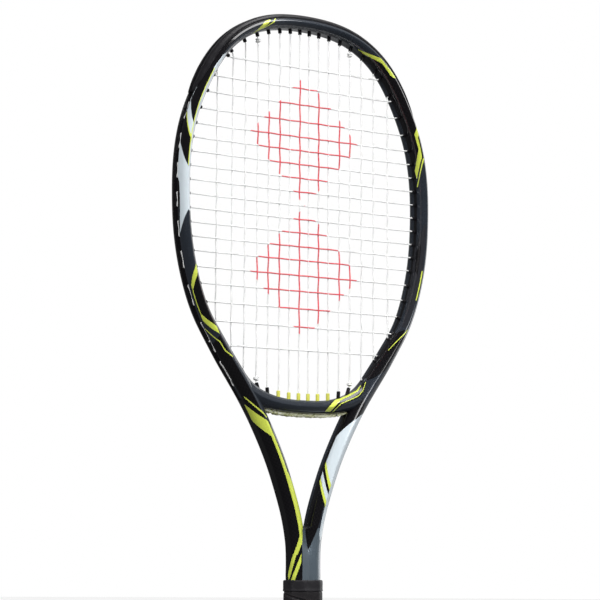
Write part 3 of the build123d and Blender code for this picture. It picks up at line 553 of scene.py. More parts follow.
def tape_material():
    mat, nt, sh = material("tape_look")
    obj = coords(nt)
    weave = node(nt, "ShaderNodeTexWave", wave_type="BANDS", bands_direction="Z")
    weave.inputs["Scale"].default_value, weave.inputs["Distortion"].default_value = 500.0, 0.5
    nt.links.new(obj, weave.inputs["Vector"])
    col = mixed(nt, weave.outputs["Fac"], lin(20, 20, 22), lin(34, 34, 37))
    nt.links.new(col, sh.inputs["Base Color"])
    nt.links.new(ranged(nt, noise(nt, obj, 300.0, 2.0), 0.3, 0.7, 0.25, 0.4), sh.inputs["Roughness"])
    bumped(nt, sh, weave.outputs["Fac"], 0.4, 0.00003)
    return mat


def steel_material():
    mat, nt, sh = material("staple_steel_look")
    obj = coords(nt, scale=(1.0, 6.0, 6.0))
    brush = noise(nt, obj, 700.0, 4.0, 0.7)
    nt.links.new(mixed(nt, ranged(nt, brush, 0.3, 0.7), lin(150, 152, 156), lin(200, 202, 206)), sh.inputs["Base Color"])
    nt.links.new(ranged(nt, brush, 0.3, 0.7, 0.22, 0.4), sh.inputs["Roughness"])
    sh.inputs["Metallic"].default_value = 1.0
    bumped(nt, sh, brush, 0.2, 0.00003)
    return mat


PAINT = paint_material()
NYLON = nylon("black_nylon_look", lin(27, 26, 29), rough=(0.16, 0.28))
BUMPER = nylon("bumper_nylon_look", lin(27, 26, 29), rough=(0.26, 0.42), speck=lin(44, 43, 46))
LIME_NYLON = nylon("lime_nylon_look", lin(206, 206, 92), dark=0.85, rough=(0.22, 0.34))
CLEAR = clear_nylon()
STRING = string_material()
GRIP = grip_material()
RUBBER = rubber_material()
FOAM = foam_material()
TAPE = tape_material()
STEEL = steel_material()
CAP = nylon("cap_plastic_look", lin(30, 29, 32), rough=(0.42, 0.58), grain=1500.0, depth=0.00006)

# ------------------------------------------------------------------ frame section
T_Q = np.concatenate([[0, .008, .018, .032, .05, .075, .105], np.linspace(.14, 1, 20)])
RIDGE_R = 0.55


def bezier(p0, p1, p2, p3, t):
    """Cubic Bezier with per-row control values (rows,) at t (cols,)."""
    p0, p1, p2, p3 = (np.asarray(v, float)[:, None] for v in (p0, p1, p2, p3))
    t = t[None, :]
    return (1 - t) ** 3 * p0 + 3 * (1 - t) ** 2 * t * p1 + 3 * (1 - t) * t * t * p2 + t ** 3 * p3


def quarter(b, reach, slope, y2, y3):
    """n >= 0 and depth y > 0 of one facet from the ridge (0, b) to the side (reach, y3)."""
    z = np.zeros_like(b)
    n = bezier(z, 0.5 * reach, reach, reach, T_Q)
    y = bezier(b, b - slope * 0.5 * reach, y2, y3, T_Q)
    k = slope[:, None]
    y += (1 - T_Q) ** 2 * k * (n - (np.sqrt(n * n + RIDGE_R ** 2) - RIDGE_R)) * 0.9
    return n, np.minimum(y, b[:, None])


def section(a, b, groove, low_groove=None, reach=None, depth=None, morph=None):
    """Closed section loops for each row: n and y, from the front ridge round the outer side.

    groove and low_groove are the depths of the channels in the outer and inner sides; reach, depth
    and morph turn the inner half into the flat face of a joined shaft."""
    one = np.ones_like(a)
    slope = 0.42 * one
    n1, y1 = quarter(b, a, slope, 0.62 * b, 3.4 * one)
    if morph is None:
        n2, y2 = n1.copy(), y1.copy()
        band = 3.4 * one
        inner = a
    else:
        inner = (1 - morph) * a + morph * reach
        s_in = (1 - morph) * slope + morph * depth / np.maximum(reach, 1)
        y_2 = (1 - morph) * 0.62 * b + morph * (b - 0.85 * depth)
        band = (1 - morph) * 3.4 + morph * (b - depth)
        n2, y2 = quarter(b, inner, s_in, y_2, band)

    def channel(side, g, half):
        g = g[:, None]
        k = np.clip(g / 0.6, 0, 1)
        half = half[:, None]
        ys = np.concatenate([half - 0.06 * k, half - 0.16 * k, half - 0.2, half - 0.2, half * 0.5], 1)
        ns = side[:, None] - np.concatenate([0.03 * k, 0.2 * k, 0.5 * g, g, g], 1)
        ys = np.concatenate([ys, 0 * half, -ys[:, ::-1]], 1)
        ns = np.concatenate([ns, side[:, None] - g, ns[:, ::-1]], 1)
        return ns, ys                      # from +y to -y

    no, yo = channel(a, groove, 3.4 * one)
    ni, yi = channel(inner, low_groove if low_groove is not None else 0 * one, band)
    n = np.concatenate([n1, no, n1[:, ::-1], -n2[:, 1:], -ni, -n2[:, :0:-1]], 1)
    y = np.concatenate([-y1, -yo, y1[:, ::-1], y2[:, 1:], yi, -y2[:, :0:-1]], 1)
    return n, y


def cad_arc(a, b, n, y):
    """Arc length w from the front centre along the squared oval, outer side +, and the half girth."""
    t = np.linspace(0, 1, 25)
    qx = (1 - t) ** 3 + 3 * (1 - t) ** 2 * t + 3 * (1 - t) * t * t * BULGE
    qy = 3 * (1 - t) ** 2 * t * BULGE + 3 * (1 - t) * t * t + t ** 3
    ux, uy = np.concatenate([qx[::-1], qx[1:]]), np.concatenate([-qy[::-1], qy[1:]])
    ang = np.arctan2(ux, -uy)
    w, girth = np.zeros_like(n), np.zeros(len(a))
    for i in range(len(a)):
        length = np.concatenate([[0], np.cumsum(np.hypot(np.diff(ux * a[i]), np.diff(uy * b[i])))])
        phi = np.arctan2(np.abs(n[i]) / a[i], -y[i] / b[i])
        w[i] = np.interp(phi, ang, length) * np.where(n[i] >= 0, 1, -1)
        girth[i] = length[-1]
    return w, girth


def poly(points, p):
    """Signed distance to a polygon, inside +. p is (k, 2)."""
    v = np.asarray(points, float)
    best = np.full(len(p), 1e9)
    inside = np.zeros(len(p), bool)
    for i in range(len(v)):
        a, b = v[i], v[(i + 1) % len(v)]
        e = b - a
        d = p - a
        t = np.clip((d @ e) / max(e @ e, 1e-9), 0, 1)
        best = np.minimum(best, np.hypot(*(d - t[:, None] * e).T))
        if abs(e[1]) > 1e-9:
            cross = ((a[1] <= p[:, 1]) != (b[1] <= p[:, 1])) & (p[:, 0] < a[0] + (p[:, 1] - a[1]) / e[1] * e[0])
            inside ^= cross
    return np.where(inside, best, -best)


def stroke(points, width, p):
    """Distance inside a line of that width through the points."""
    v = np.asarray(points, float)
    best = np.full(len(p), 1e9)
    for a, b in zip(v, v[1:]):
        e, d = b - a, p - a
        t = np.clip((d @ e) / max(e @ e, 1e-9), 0, 1)
        best = np.minimum(best, np.hypot(*(d - t[:, None] * e).T))
    return width / 2 - best


# Decals in millimetres: distance along a limb from the top, and round the section from its front
# ridge, + to the outside. P is a polygon, S a stroke with its width.
P, S = "poly", "stroke"
DECALS = {
    "left": {
        "black": [
            (P, [(46, 1.5), (54, 17), (250, 17), (252, 0.3), (120, 0.3), (66, -0.2)]),
            (P, [(299, -5), (321, 9), (347, 9), (366, -1.5), (360, -7), (301, -7)]),
            (P, [(366, 0.0), (373, 17), (800, 17), (800, 0.0)]),
            (P, [(250, 11.6), (250, 20), (380, 20), (380, 11.6)]),
        ],
        "panel": [],
        "grey": [],
        "pale": [
            (P, [(101, -2.5), (106, -0.2), (122, 0.9), (125, 0.4), (123, -6), (109, -5)]),
            (P, [(112, -5.5), (122, -0.2), (254, -0.2), (257, -12.2), (112, -12.2)]),
            # a thin pale line where the bumper ends: a painted highlight along the bumper's edge
            (S, [(143, 9.2), (157, 10.6)], 0.5),
            (P, [(156, 10.5), (166, 10.8), (191, 0), (200, -7), (184, -7), (178, 0)]),
            (P, [(192.5, 12.5), (224, 12), (229, 9.3), (240, 8.6), (255, 9), (273, 11), (252, -0.5), (258, -8),
                 (220, -8), (217, -0.5)]),
        ],
        "dark": [],
        "lime": [
            (S, [(35.5, 5.5), (41, 0), (50, -3.5), (58, -5.5)], 1.0),
            (P, [(42.5, 4.2), (47.5, 3.0), (56, -1.5), (66, -7.5), (60, -6.5), (50, -2.5), (44, 1.5)]),
            (S, [(122, 0.2), (170, 0.3), (215, 0.2)], 0.65),
            (P, [(166, 11), (168.4, 11), (193.4, -0.5), (190.5, -0.5)]),
            (P, [(299, -4), (307, -2), (321, 6.5), (317.5, 8.3), (301, -1)]),
            (S, [(318, 7.6), (332, 7.9), (345, 7.6)], 1.0),
            (P, [(343, 8.5), (349, 8.5), (365, -0.5), (358, -1.5), (344, 6.2)]),
            (S, [(356, 10.5), (371, 2.7), (380, 2.3), (388, -1)], 1.0),
            (S, [(425, 8.5), (450, -3)], 1.3),
            (P, [(429.5, 13.5), (447.5, 13.5), (467, 0.8), (453, -1.5)]),
            (P, [(453, -2.2), (500, -2.2), (513, -7), (548, -7), (562, -1.2), (575, 4.5), (574, 8), (558, 1.2),
                 (500, 1.2), (453, 1.2)]),
        ],
    },
    "right": {
        "black": [
            (P, [(60, -17), (62, -9.5), (66, -8.5), (84, -1.2), (98, -1.2), (104, 3.2), (110, 12), (190, 12),
                 (183, 3.2), (184, -8), (192, -17)]),
            (P, [(345, 1.4), (352, -8), (352, -17), (413, -17), (410, -11), (404.5, -5), (397, -1.4), (391, 0.9)]),
            (P, [(180, -11.5), (180, -20), (460, -20), (460, -11.5)]),
            (P, [(102, 7.0), (98, 17), (440, 17), (440, 5.5), (200, 3.5), (108, 3.5)]),
            (P, [(430, 8.0), (430, 20), (800, 20), (800, 8.0)]),
            (P, [(434, 3), (420, -6), (416, -17), (574, -17), (574, -9.8), (568, -6.6), (556, -2.4), (545, -0.9),
                 (530, -0.6), (470, 3)]),
        ],
        "panel": [],
        "grey": [
            (P, [(243, -1), (264, -13), (300, -13), (345, -6), (345, -1)]),
            (P, [(302, -5), (314, -5), (318, -13), (306, -13)]),
        ],
        "pale": [
            # pale print on the lower right limb; its strip over the outer facet, from w 0.5 out to w 8, is a painted
            # highlight
            (P, [(436, 8), (440, 3), (468, -11.7), (492, -11.7), (517, 0.5), (556, 0.5), (562, 3), (556, 8)]),
            (P, [(501, -12), (507, -12), (527, 0.5), (521, 0.5)]),
        ],
        "dark": [
            (P, [(262, -5), (292, -5), (288, -9), (270, -11)]),
        ],
        "lime": [
            (P, [(56.5, -9), (66, -9.5), (84, -2), (98, -2), (102, -0.8), (105, 3.5), (98, 2), (90, 0.3), (80, 0.3),
                 (62, -7.5)]),
            (P, [(149, 3.5), (155, 3.5), (162, -0.8), (180, -1.0), (200, -10), (192, -11.5), (173, -2.8),
                 (158, -3)]),
            (S, [(182, 0), (207, -10)], 1.2),
            (S, [(288, -1), (316, -1)], 0.9),
            (S, [(345, 1), (372, -6.5)], 0.8),
            (P, [(492, -12), (495.5, -12), (517, 0.5), (512, 0.5)]),
            (P, [(507.5, -12), (511, -12), (533, 1.5), (527, 0.5)]),
        ],
    },
}
# The same on the bridge and the shaft, in the view's frame of 600 x 600
VIEW = {
    "bridge_lime": [
        (P, [(324.6, 411.8), (330.2, 411.8), (340.6, 400.4), (349.5, 396.2), (357.6, 391.6), (361.2, 385.6),
             (360.4, 385.2), (356.8, 390.2), (348.8, 394.2), (340.6, 398.2), (335.0, 399.8)]),
        (S, [(333.0, 411.8), (341.2, 403.6), (350, 399.9), (358.5, 395.9), (363, 390.5), (365.6, 382.2)], 0.8),
    ],
    "bridge_black": [
        (P, [(322.8, 412.2), (335.4, 412.2), (342.4, 405.0), (351, 401.2), (359.6, 396.9), (364.4, 391),
             (366.8, 382), (364.4, 381.6), (361.4, 384.6), (356.4, 389.4), (348.4, 393.2), (340.2, 397.2),
             (334.2, 398.8)]),
    ],
    "shaft_lime": [
        (P, [(302.6, 534), (302.2, 543.5), (296.2, 555.5), (289.6, 578.5), (286.8, 578.5), (291.8, 558), (300.2, 537)]),
        (P, [(301.6, 553.3), (301.3, 562.5), (294.6, 580.5), (290.8, 580.5), (292.8, 575)]),
        (P, [(284.6, 562), (285.8, 571.0), (289.2, 580.5), (287.2, 580.5), (285.2, 575)]),
    ],
}
FIELDS = ("black", "grey", "panel", "pale", "dark", "lime")


def decal_field(side, kind, p):
    best = np.full(len(p), -1e3)
    for item in DECALS[side][kind]:
        pts = np.array(item[1])
        lo, hi = pts.min(0) - 4, pts.max(0) + 4
        near = np.all((p > lo) & (p < hi), axis=1)
        if not near.any():
            continue
        d = poly(item[1], p[near]) if item[0] == P else stroke(item[1], item[2], p[near])
        best[near] = np.maximum(best[near], d)
    return np.clip(best, -4, 4)


def view_field(kind, verts, front):
    """Fields drawn as seen from the front, and again on the back turned half round."""
    turned = verts * np.where(front, 1.0, -1.0)[:, None] * np.array([1, 1, 0]) + verts * np.array([0, 0, 1])
    uv = project(turned)
    best = np.full(len(verts), -4.0)
    for item in VIEW[kind]:
        d = poly(item[1], uv) if item[0] == P else stroke(item[1], item[2], uv)
        best = np.maximum(best, d)
    return np.clip(best * 1.1, -4, 4)


# ------------------------------------------------------------------ frame tube
s_half = np.concatenate([np.arange(0.0, 112.0, 0.5), np.arange(112.0, 645.0, 1.0), np.arange(645.0, leg.end - 0.5, 6.0), [leg.end]])
s_rows = np.concatenate([-s_half[:0:-1], s_half])
x, z, tx, tz, nx, nz, a, b = leg.frame(s_rows)
sa = np.abs(s_rows)
groove = GROOVE_DEEP * (1 - step(sa, S_GROOVE - 2.5, S_GROOVE + 0.5))
# the shaft's inner faces close at the fork and open again inside the grip
morph = (1 - step(z, -288.0, -284.0)) * step(z, -336.0, -332.0)
depth = 0.75 + 7.0 * step(z, -317.5, -286.5) ** 1.3
n, y = section(a, b, groove, reach=np.abs(x) + 0.03, depth=depth, morph=morph)
pos = np.stack([x[:, None] + nx[:, None] * n, y, z[:, None] + nz[:, None] * n + Z_BED], -1)
# rows run along the limb, so the closed shaft faces stay on the middle plane
mid = (morph > 0.98)[:, None] & (n < -0.985 * np.abs(x)[:, None])
pos[..., 0] = np.where(mid, 0.0, pos[..., 0])
w, girth = cad_arc(a, b, n, y)
back = y > 0
w_face = np.where(back, (girth[:, None] - np.abs(w)) * np.sign(w), w)
side_right = (s_rows[:, None] > 0) ^ back
flat = np.stack([np.broadcast_to(sa[:, None], n.shape).ravel(), w_face.ravel()], -1)
right_mask = side_right.ravel()
fields = {}
for key in FIELDS:
    f = np.full(len(flat), -4.0)
    f[right_mask] = decal_field("right", key, flat[right_mask])
    f[~right_mask] = decal_field("left", key, flat[~right_mask])
    fields["f_" + key] = f
verts_flat = pos.reshape(-1, 3)
# the inner side of the back half stays dark along the hoop
inner_back = back.ravel() & (flat[:, 0] < 262)
fields["f_pale"][inner_back] = np.minimum(fields["f_pale"][inner_back], flat[inner_back, 1] + 5.0)
zz = verts_flat[:, 2] - Z_BED
front = (~back).ravel()
shaft = zz < -255
if shaft.any():
    sf = view_field("shaft_lime", verts_flat[shaft], front[shaft])
    keep_left = ~right_mask[shaft]
    fields["f_lime"][shaft] = np.maximum(fields["f_lime"][shaft], np.where(keep_left, sf, -4.0))
    # the flat front panel between the ridges
    fields["f_panel"][shaft] = np.minimum(np.where(right_mask[shaft], -fields["f_black"][shaft], -flat[shaft, 1]),
                                          (-zz[shaft] - 284.5) * 0.6)
verts, faces = sweep_grid(pos)
pad = len(verts) - len(verts_flat)
for key in fields:
    fields[key] = np.concatenate([fields[key], np.full(pad, -4.0)])
sw = np.concatenate([np.stack([flat[:, 0], flat[:, 1], 0 * flat[:, 0]], -1), np.zeros((pad, 3))])
shell = new_object("frame_shell", verts, faces, [PAINT], floats=fields, vectors={"sw": sw}, sharp=50)
finish_piece(shell, "racket", "painted_composite", "frame_tube")

# ------------------------------------------------------------------ throat bridge
q = np.linspace(-arc.end + 2.0, arc.end - 2.0, 157)
bx, bz, btx, btz, bnx, bnz, ba, bb = arc.frame(q)
low_groove = LOW_DEEP * (1 - step(np.abs(q), 48.5, 50.5))
bn, by = section(ba, bb, 0 * ba, low_groove=low_groove)
bpos = np.stack([bx[:, None] + bnx[:, None] * bn, by, bz[:, None] + bnz[:, None] * bn + Z_BED], -1)
bw, bgirth = cad_arc(ba, bb, bn, by)


def tuck(p, inset=0.3):
    """Pulls points that have passed the middle of a limb back under its surface."""
    ss = np.arange(330.0, 460.0, 0.5)
    lx, lz, _, _, lnx, lnz, la, lb = leg.frame(ss)
    out = p.copy()
    for i in range(p.shape[0]):
        for j in range(p.shape[1]):
            px, py, pz = p[i, j]
            sg = 1.0 if px > 0 else -1.0
            if abs(px) < 50:
                continue
            qx, qz = abs(px), pz - Z_BED
            k = int(np.argmin((lx - qx) ** 2 + (lz - qz) ** 2))
            off = (qx - lx[k]) * lnx[k] + (qz - lz[k]) * lnz[k]
            if off < -1.5:
                continue
            lim_y, lim_n = SURF[k]
            new_off = min(off, la[k] - 1.2)
            top = float(np.interp(abs(new_off), lim_n[::-1], lim_y[::-1])) - inset
            new_y = math.copysign(min(abs(py), top), py)
            qx2, qz2 = qx + (new_off - off) * lnx[k], qz + (new_off - off) * lnz[k]
            out[i, j] = (sg * qx2, new_y, qz2 + Z_BED)
    return out


def outer_profile(aa, bb_):
    """|y| and n of the frame's faceted surface from the side to the ridge."""
    one = np.ones(1)
    nn, yy = quarter(bb_ * one, aa * one, 0.42 * one, 0.62 * bb_ * one, 3.4 * one)
    return yy[0][::-1], nn[0][::-1]


SURF = [outer_profile(p_, q_) for p_, q_ in zip(*(leg.frame(np.arange(330.0, 460.0, 0.5))[k] for k in (6, 7)))]
bpos = tuck(bpos)
bverts, bfaces = sweep_grid(bpos)
bflat = bpos.reshape(-1, 3)
bfront = bflat[:, 1] <= 0
bf = {"f_" + k: np.full(len(bverts), -4.0) for k in FIELDS}
bf["f_lime"][:len(bflat)] = view_field("bridge_lime", bflat, bfront)
bf["f_black"][:len(bflat)] = view_field("bridge_black", bflat, bfront)
bsw = np.zeros((len(bverts), 3))
bsw[:len(bflat), 0] = np.repeat(q, bn.shape[1])
bsw[:len(bflat), 1] = bw.ravel()
bridge = new_object("yoke_bridge", bverts, bfaces, [PAINT], floats=bf, vectors={"sw": bsw}, sharp=50)
finish_piece(bridge, "racket", "painted_composite", "throat_bridge")


# ------------------------------------------------------------------ grommets and bumper
def barrel(end, sg, y0, long_base=0.0, r=1.7, bore=0.92, seg=22):
    """One grommet barrel with a rounded mouth and a through bore."""
    bx_, bz_, ox, oz, loop_d, base_d, _ = end
    bx_, ox = bx_ * sg, ox * sg
    prof = [(base_d + long_base, bore), (base_d + long_base, r), (LIP + 2.4, r * 0.985), (LIP + 0.5, r * 0.97),
            (LIP + 0.22, r * 0.93), (LIP + 0.06, r * 0.84), (LIP, r * 0.72), (LIP + 0.05, bore + 0.22),
            (LIP + 0.2, bore + 0.06), (LIP + 0.45, bore)]
    th = np.arange(seg) * 2 * math.pi / seg
    side = np.array([-oz, 0, ox])
    rings = []
    for d, rr in prof:
        c = np.array([bx_ + ox * d, y0, bz_ + oz * d + Z_BED])
        rings.append(c + rr * (np.cos(th)[:, None] * side + np.sin(th)[:, None] * np.array([0, 1, 0])))
    p = np.array(rings)
    v = p.reshape(-1, 3)
    f = tube_faces(len(prof), seg, loop=True).tolist()
    quads = np.array(f)
    va, vb, vc, vd = (v[quads[:, i]] - v.mean(0) for i in range(4))
    vol = (np.einsum("ij,ij->i", va, np.cross(vb, vc)) + np.einsum("ij,ij->i", va, np.cross(vc, vd))).sum()
    return v, [k[::-1] for k in f] if vol < 0 else f


def squared(aa, bb_, t):
    """Points of the squared oval from (aa, 0), up to parameter t."""
    n_ = (1 - t) ** 3 * aa + 3 * (1 - t) ** 2 * t * aa + 3 * (1 - t) * t * t * BULGE * aa
    y_ = 3 * (1 - t) ** 2 * t * BULGE * bb_ + 3 * (1 - t) * t * t * bb_ + t ** 3 * bb_
    return n_, y_


rows = np.arange(-S_RAILS, S_RAILS + 0.01, 1.0)
rows[-1] = S_RAILS
rx, rz, rtx, rtz, rnx, rnz, ra, rb = leg.frame(rows)
loops = []
for i, s in enumerate(rows):
    left_over = S_RAILS - abs(s)
    fade = min(1.0, max(0.0, left_over) / 26.0) ** 0.5
    h = 1.36 + 1.42 * fade
    t_edge = 0.17 + 0.33 * (1 - max(0.0, (34.0 - left_over) / 34.0) ** 2)
    _, y_edge = squared(ra[i] + 0.12, rb[i] + 0.12, t_edge)
    py, pn = outer_profile(ra[i], rb[i])
    tau = np.linspace(0, 1, 15)
    ys = 2.2 + (y_edge - 2.2) * tau
    surf = np.interp(np.maximum(ys, 3.4), py, pn)
    # a crowned rail with a crease two thirds out, thinning to a fine edge
    crown = (h - 1.25) * (1 - step(tau, 0.35, 1.0)) + 1.25
    crown = crown * np.clip((1 - tau) / 0.05, 0.0, 1.0) ** 0.4
    crown[0] -= 0.18
    slope = np.gradient(surf, ys)
    ln = np.sqrt(1 + slope ** 2)
    out_n, out_y = surf + crown / ln, ys - crown * slope / ln * 1.0
    out_y = np.maximum.accumulate(np.clip(out_y, 2.2, rb[i] + 0.6))
    # ribs across the channel floor
    floor = ra[i] - 2.35
    under_y = np.linspace(y_edge, 3.3, 6)
    under_n = np.interp(under_y, py, pn) - 0.06
    half_n = np.concatenate([[floor, floor, floor + 0.1], out_n, under_n, [ra[i] - 2.7, ra[i] - 2.7]])
    half_y = np.concatenate([[0.0, 1.9, 2.18], out_y, under_y, [3.1, 0.0]])
    n_all = np.concatenate([half_n, half_n[-2:0:-1]])
    y_all = np.concatenate([half_y, -half_y[-2:0:-1]])
    loops.append(np.stack([rx[i] + rnx[i] * n_all, y_all, rz[i] + rnz[i] * n_all + Z_BED], -1))
parts = [sweep_grid(np.array(loops))]


def strip(s0, s1, top_in=2.35, low_in=2.75, half=3.1, ribs=True):
    """The grommet strip on the groove's floor: side lips and fine cross ribs."""
    ss = np.arange(s0, s1, 0.5)
    sx_, sz_, _, _, snx, snz, sa_, _ = leg.frame(ss)
    rib = 0.55 * (0.5 + 0.5 * np.cos(2 * math.pi * ss / 2.6)) ** 3 if ribs else 0 * ss
    cross = np.array([(-half, low_in), (-half, 0.45), (-half + 0.25, 0.3), (-half + 0.55, 0.45), (-2.25, top_in),
                      (-1.0, top_in), (0, top_in), (1.0, top_in), (2.25, top_in), (half - 0.55, 0.45),
                      (half - 0.25, 0.3), (half, 0.45), (half, low_in), (0, low_in)])
    yy = cross[:, 0]
    inn = np.broadcast_to(cross[:, 1], (len(ss), len(cross))).copy()
    inn[:, 4:9] -= rib[:, None]
    inn[:, 1:4] += 0.35 * (1 - rib[:, None] / 0.55)
    inn[:, 9:12] += 0.35 * (1 - rib[:, None] / 0.55)
    nn = sa_[:, None] - inn
    p = np.stack([sx_[:, None] + snx[:, None] * nn, np.broadcast_to(yy, nn.shape),
                  sz_[:, None] + snz[:, None] * nn + Z_BED], -1)
    return sweep_grid(p)


parts += [strip(S_RAILS - 0.5, S_BUMPER), strip(-S_BUMPER, -S_RAILS + 0.5)]
for e in TOP_ENDS:
    parts += [barrel(e, 1, WEAVE), barrel(e, -1, WEAVE)]
for e in SIDE_ENDS[:4]:
    parts += [barrel(e, 1, -WEAVE), barrel(e, -1, -WEAVE)]
v_, f_, _, nf_ = join(parts)
bumper = new_object("bumper_rail", v_, f_, [BUMPER, NYLON],
                    index=np.concatenate([np.zeros(nf_[0]), np.ones(sum(nf_[1:]))]), sharp=32)
finish_piece(bumper, "racket", "black_nylon", "bumper_guard")

for sg, name in ((1, "right"), (-1, "left")):
    lo, hi = S_BUMPER + 0.4, S_GROOVE - 1.0
    parts = [strip(lo, hi) if sg > 0 else strip(-hi, -lo)]
    parts += [barrel(e, sg, -WEAVE) for e in SIDE_ENDS[4:]] + [barrel(e, sg, WEAVE) for e in LOW_ENDS[5:]]
    v_, f_, _, _ = join(parts)
    o = new_object("grommet_strip_" + name, v_, f_, [NYLON], sharp=32)
    finish_piece(o, "racket", "black_nylon", "side_grommet_strip_" + name)


def low_strip(s0, s1, wavy=0.0):
    """Strip under the bridge: two deep rails either side of the channel that the loops lie in."""
    ss = np.linspace(s0, s1, max(8, int(abs(s1 - s0) / 0.5)))
    sx_, sz_, _, _, snx, snz, sa_, _ = arc.frame(ss)
    h = STRIP_HALF
    top, rail, ch = LOW_DEEP - 0.1, LOW_RAIL, 0.4
    cross = np.array([(-h, -top), (-h, rail * 0.55), (-h + 0.12, rail - 0.55), (-h + 0.35, rail - 0.12),
                      (-h + 0.6, rail), (-2.55, rail - 0.1), (-2.25, rail - 0.5), (-2.2, ch), (0, ch), (2.2, ch),
                      (2.25, rail - 0.5), (2.55, rail - 0.1), (h - 0.6, rail), (h - 0.35, rail - 0.12),
                      (h - 0.12, rail - 0.55), (h, rail * 0.55), (h, -top), (0, -top)])
    dn = np.broadcast_to(cross[:, 1], (len(ss), len(cross))).copy()
    ridge = wavy * (0.5 + 0.5 * np.sin(ss * 0.9) * np.sin(ss * 0.37 + 1.0)) * 0.9
    ends_ = np.clip((1 - np.abs((ss - (s0 + s1) / 2) / ((s1 - s0) / 2))) / 0.06, 0, 1) ** 0.5
    tip = dn > 1.0
    # the short outer strips thin out where the bridge runs into the limbs
    fall = 1.0 - 0.8 * np.clip((np.abs(ss) - 33.0) / 13.0, 0, 1)
    dn = np.where(tip, ch + 0.3 + (dn - ridge[:, None] - ch - 0.3) * (ends_ * fall)[:, None], dn)
    nn = -(sa_[:, None] + dn)
    p = np.stack([sx_[:, None] + snx[:, None] * nn, np.broadcast_to(cross[:, 0], nn.shape),
                  sz_[:, None] + snz[:, None] * nn + Z_BED], -1)
    return sweep_grid(p)


STRIP_HALF = 3.1
parts = [low_strip(-32.0, 32.0, 0.8)]
for e in LOW_ENDS[:3]:
    parts += [barrel(e, 1, WEAVE), barrel(e, -1, WEAVE)]
v_, f_, _, nf_ = join(parts)
o = new_object("bridge_strip_lime", v_, f_, [CLEAR, LIME_NYLON],
               index=np.concatenate([np.zeros(nf_[0]), np.ones(sum(nf_[1:]))]), sharp=32)
finish_piece(o, "racket", "lime_nylon", "bridge_grommet_strip")
for sg, name in ((1, "right"), (-1, "left")):
    parts = [low_strip(32.5, 47.0, 0.5) if sg > 0 else low_strip(-47.0, -32.5, 0.5)]
    parts += [barrel(e, sg, WEAVE) for e in LOW_ENDS[3:5]]
    v_, f_, _, nf_ = join(parts)
    o = new_object("bridge_grommet_pair_" + name, v_, f_, [CLEAR, NYLON],
                   index=np.concatenate([np.zeros(nf_[0]), np.ones(sum(nf_[1:]))]), sharp=32)
    finish_piece(o, "racket", "black_nylon", "bridge_grommets_" + name)


# ------------------------------------------------------------------ strings
def string_ends():
    mains_top = [(-e[0], e[1], -e[2], *e[3:6], -e[6]) for e in TOP_ENDS[::-1]] + TOP_ENDS
    mains_low = [(-e[0], e[1], -e[2], *e[3:6], -e[6]) for e in LOW_ENDS[::-1]] + LOW_ENDS
    lefts = [(-e[0], e[1], -e[2], *e[3:6], -e[6]) for e in SIDE_ENDS]
    return mains_top, mains_low, lefts, SIDE_ENDS


TOPS, LOWS, LEFTS, RIGHTS = string_ends()


def along(e, d):
    return np.array([e[0] + e[2] * d, e[1] + e[3] * d])


def groove_point(line, s, inwards):
    gx, gz, _, _, gnx, gnz, ga, _ = line.frame(np.array([s]))
    sgn = -1 if line is arc else 1
    return np.array([gx[0] + sgn * gnx[0] * (ga[0] - inwards), gz[0] + sgn * gnz[0] * (ga[0] - inwards)])


def rounded(points, radii):
    """Corner points joined by arcs, as an evenly fine polyline, with a mark where the bed's spans run."""
    out, bed = [points[0][0]], [0]
    for k in range(1, len(points) - 1):
        (p, _), (c, kind), (r_, _) = points[k - 1], points[k], points[k + 1]
        u, v = c - p, r_ - c
        lu, lv = np.linalg.norm(u), np.linalg.norm(v)
        u, v = u / lu, v / lv
        turn = math.atan2(u[0] * v[1] - u[1] * v[0], float(u @ v))
        if abs(turn) < 0.004:
            continue
        cut = min(radii[kind] * math.tan(abs(turn) / 2), {"bend": 1.1, "corner": 1.3, "groove": 1.8}[kind],
                  0.45 * lu, 0.45 * lv)
        steps = max(2, int(abs(turn) / math.radians(14)) + 1)
        a_, b_ = c - u * cut, c + v * cut
        for j in range(steps + 1):
            t = j / steps
            out.append((1 - t) ** 2 * a_ + 2 * t * (1 - t) * c + t * t * b_)
            bed.append(0)
        if kind == "bend" and points[k + 1][1] == "bend":
            bed[-1] = 1                    # the bed's span starts after this point
    out.append(points[-1][0])
    bed.append(0)
    return out, bed


def string_route(runs, low_of):
    pts = []
    for i, (e, f) in enumerate(runs):
        if i == 0:
            pts.append((along(e, e[4] + 0.3), "corner"))
        pts += [(np.array(e[:2]), "bend"), (np.array(f[:2]), "bend")]
        if i == len(runs) - 1:
            pts.append((along(f, f[4] + 0.3), "corner"))
        else:
            g = runs[i + 1][0]
            line = arc if low_of(f) else leg
            inwards = LOOP_LOW if line is arc else LOOP_IN
            k_n = max(1, round(abs(g[6] - f[6]) / 6.0))
            mid_pts = [groove_point(line, f[6] + (g[6] - f[6]) * k / k_n, inwards) for k in range(1, k_n)]
            pts.append((along(f, f[4]), "corner"))
            pts += [(p_, "groove") for p_ in mid_pts]
            pts.append((along(g, g[4]), "corner"))
    return pts


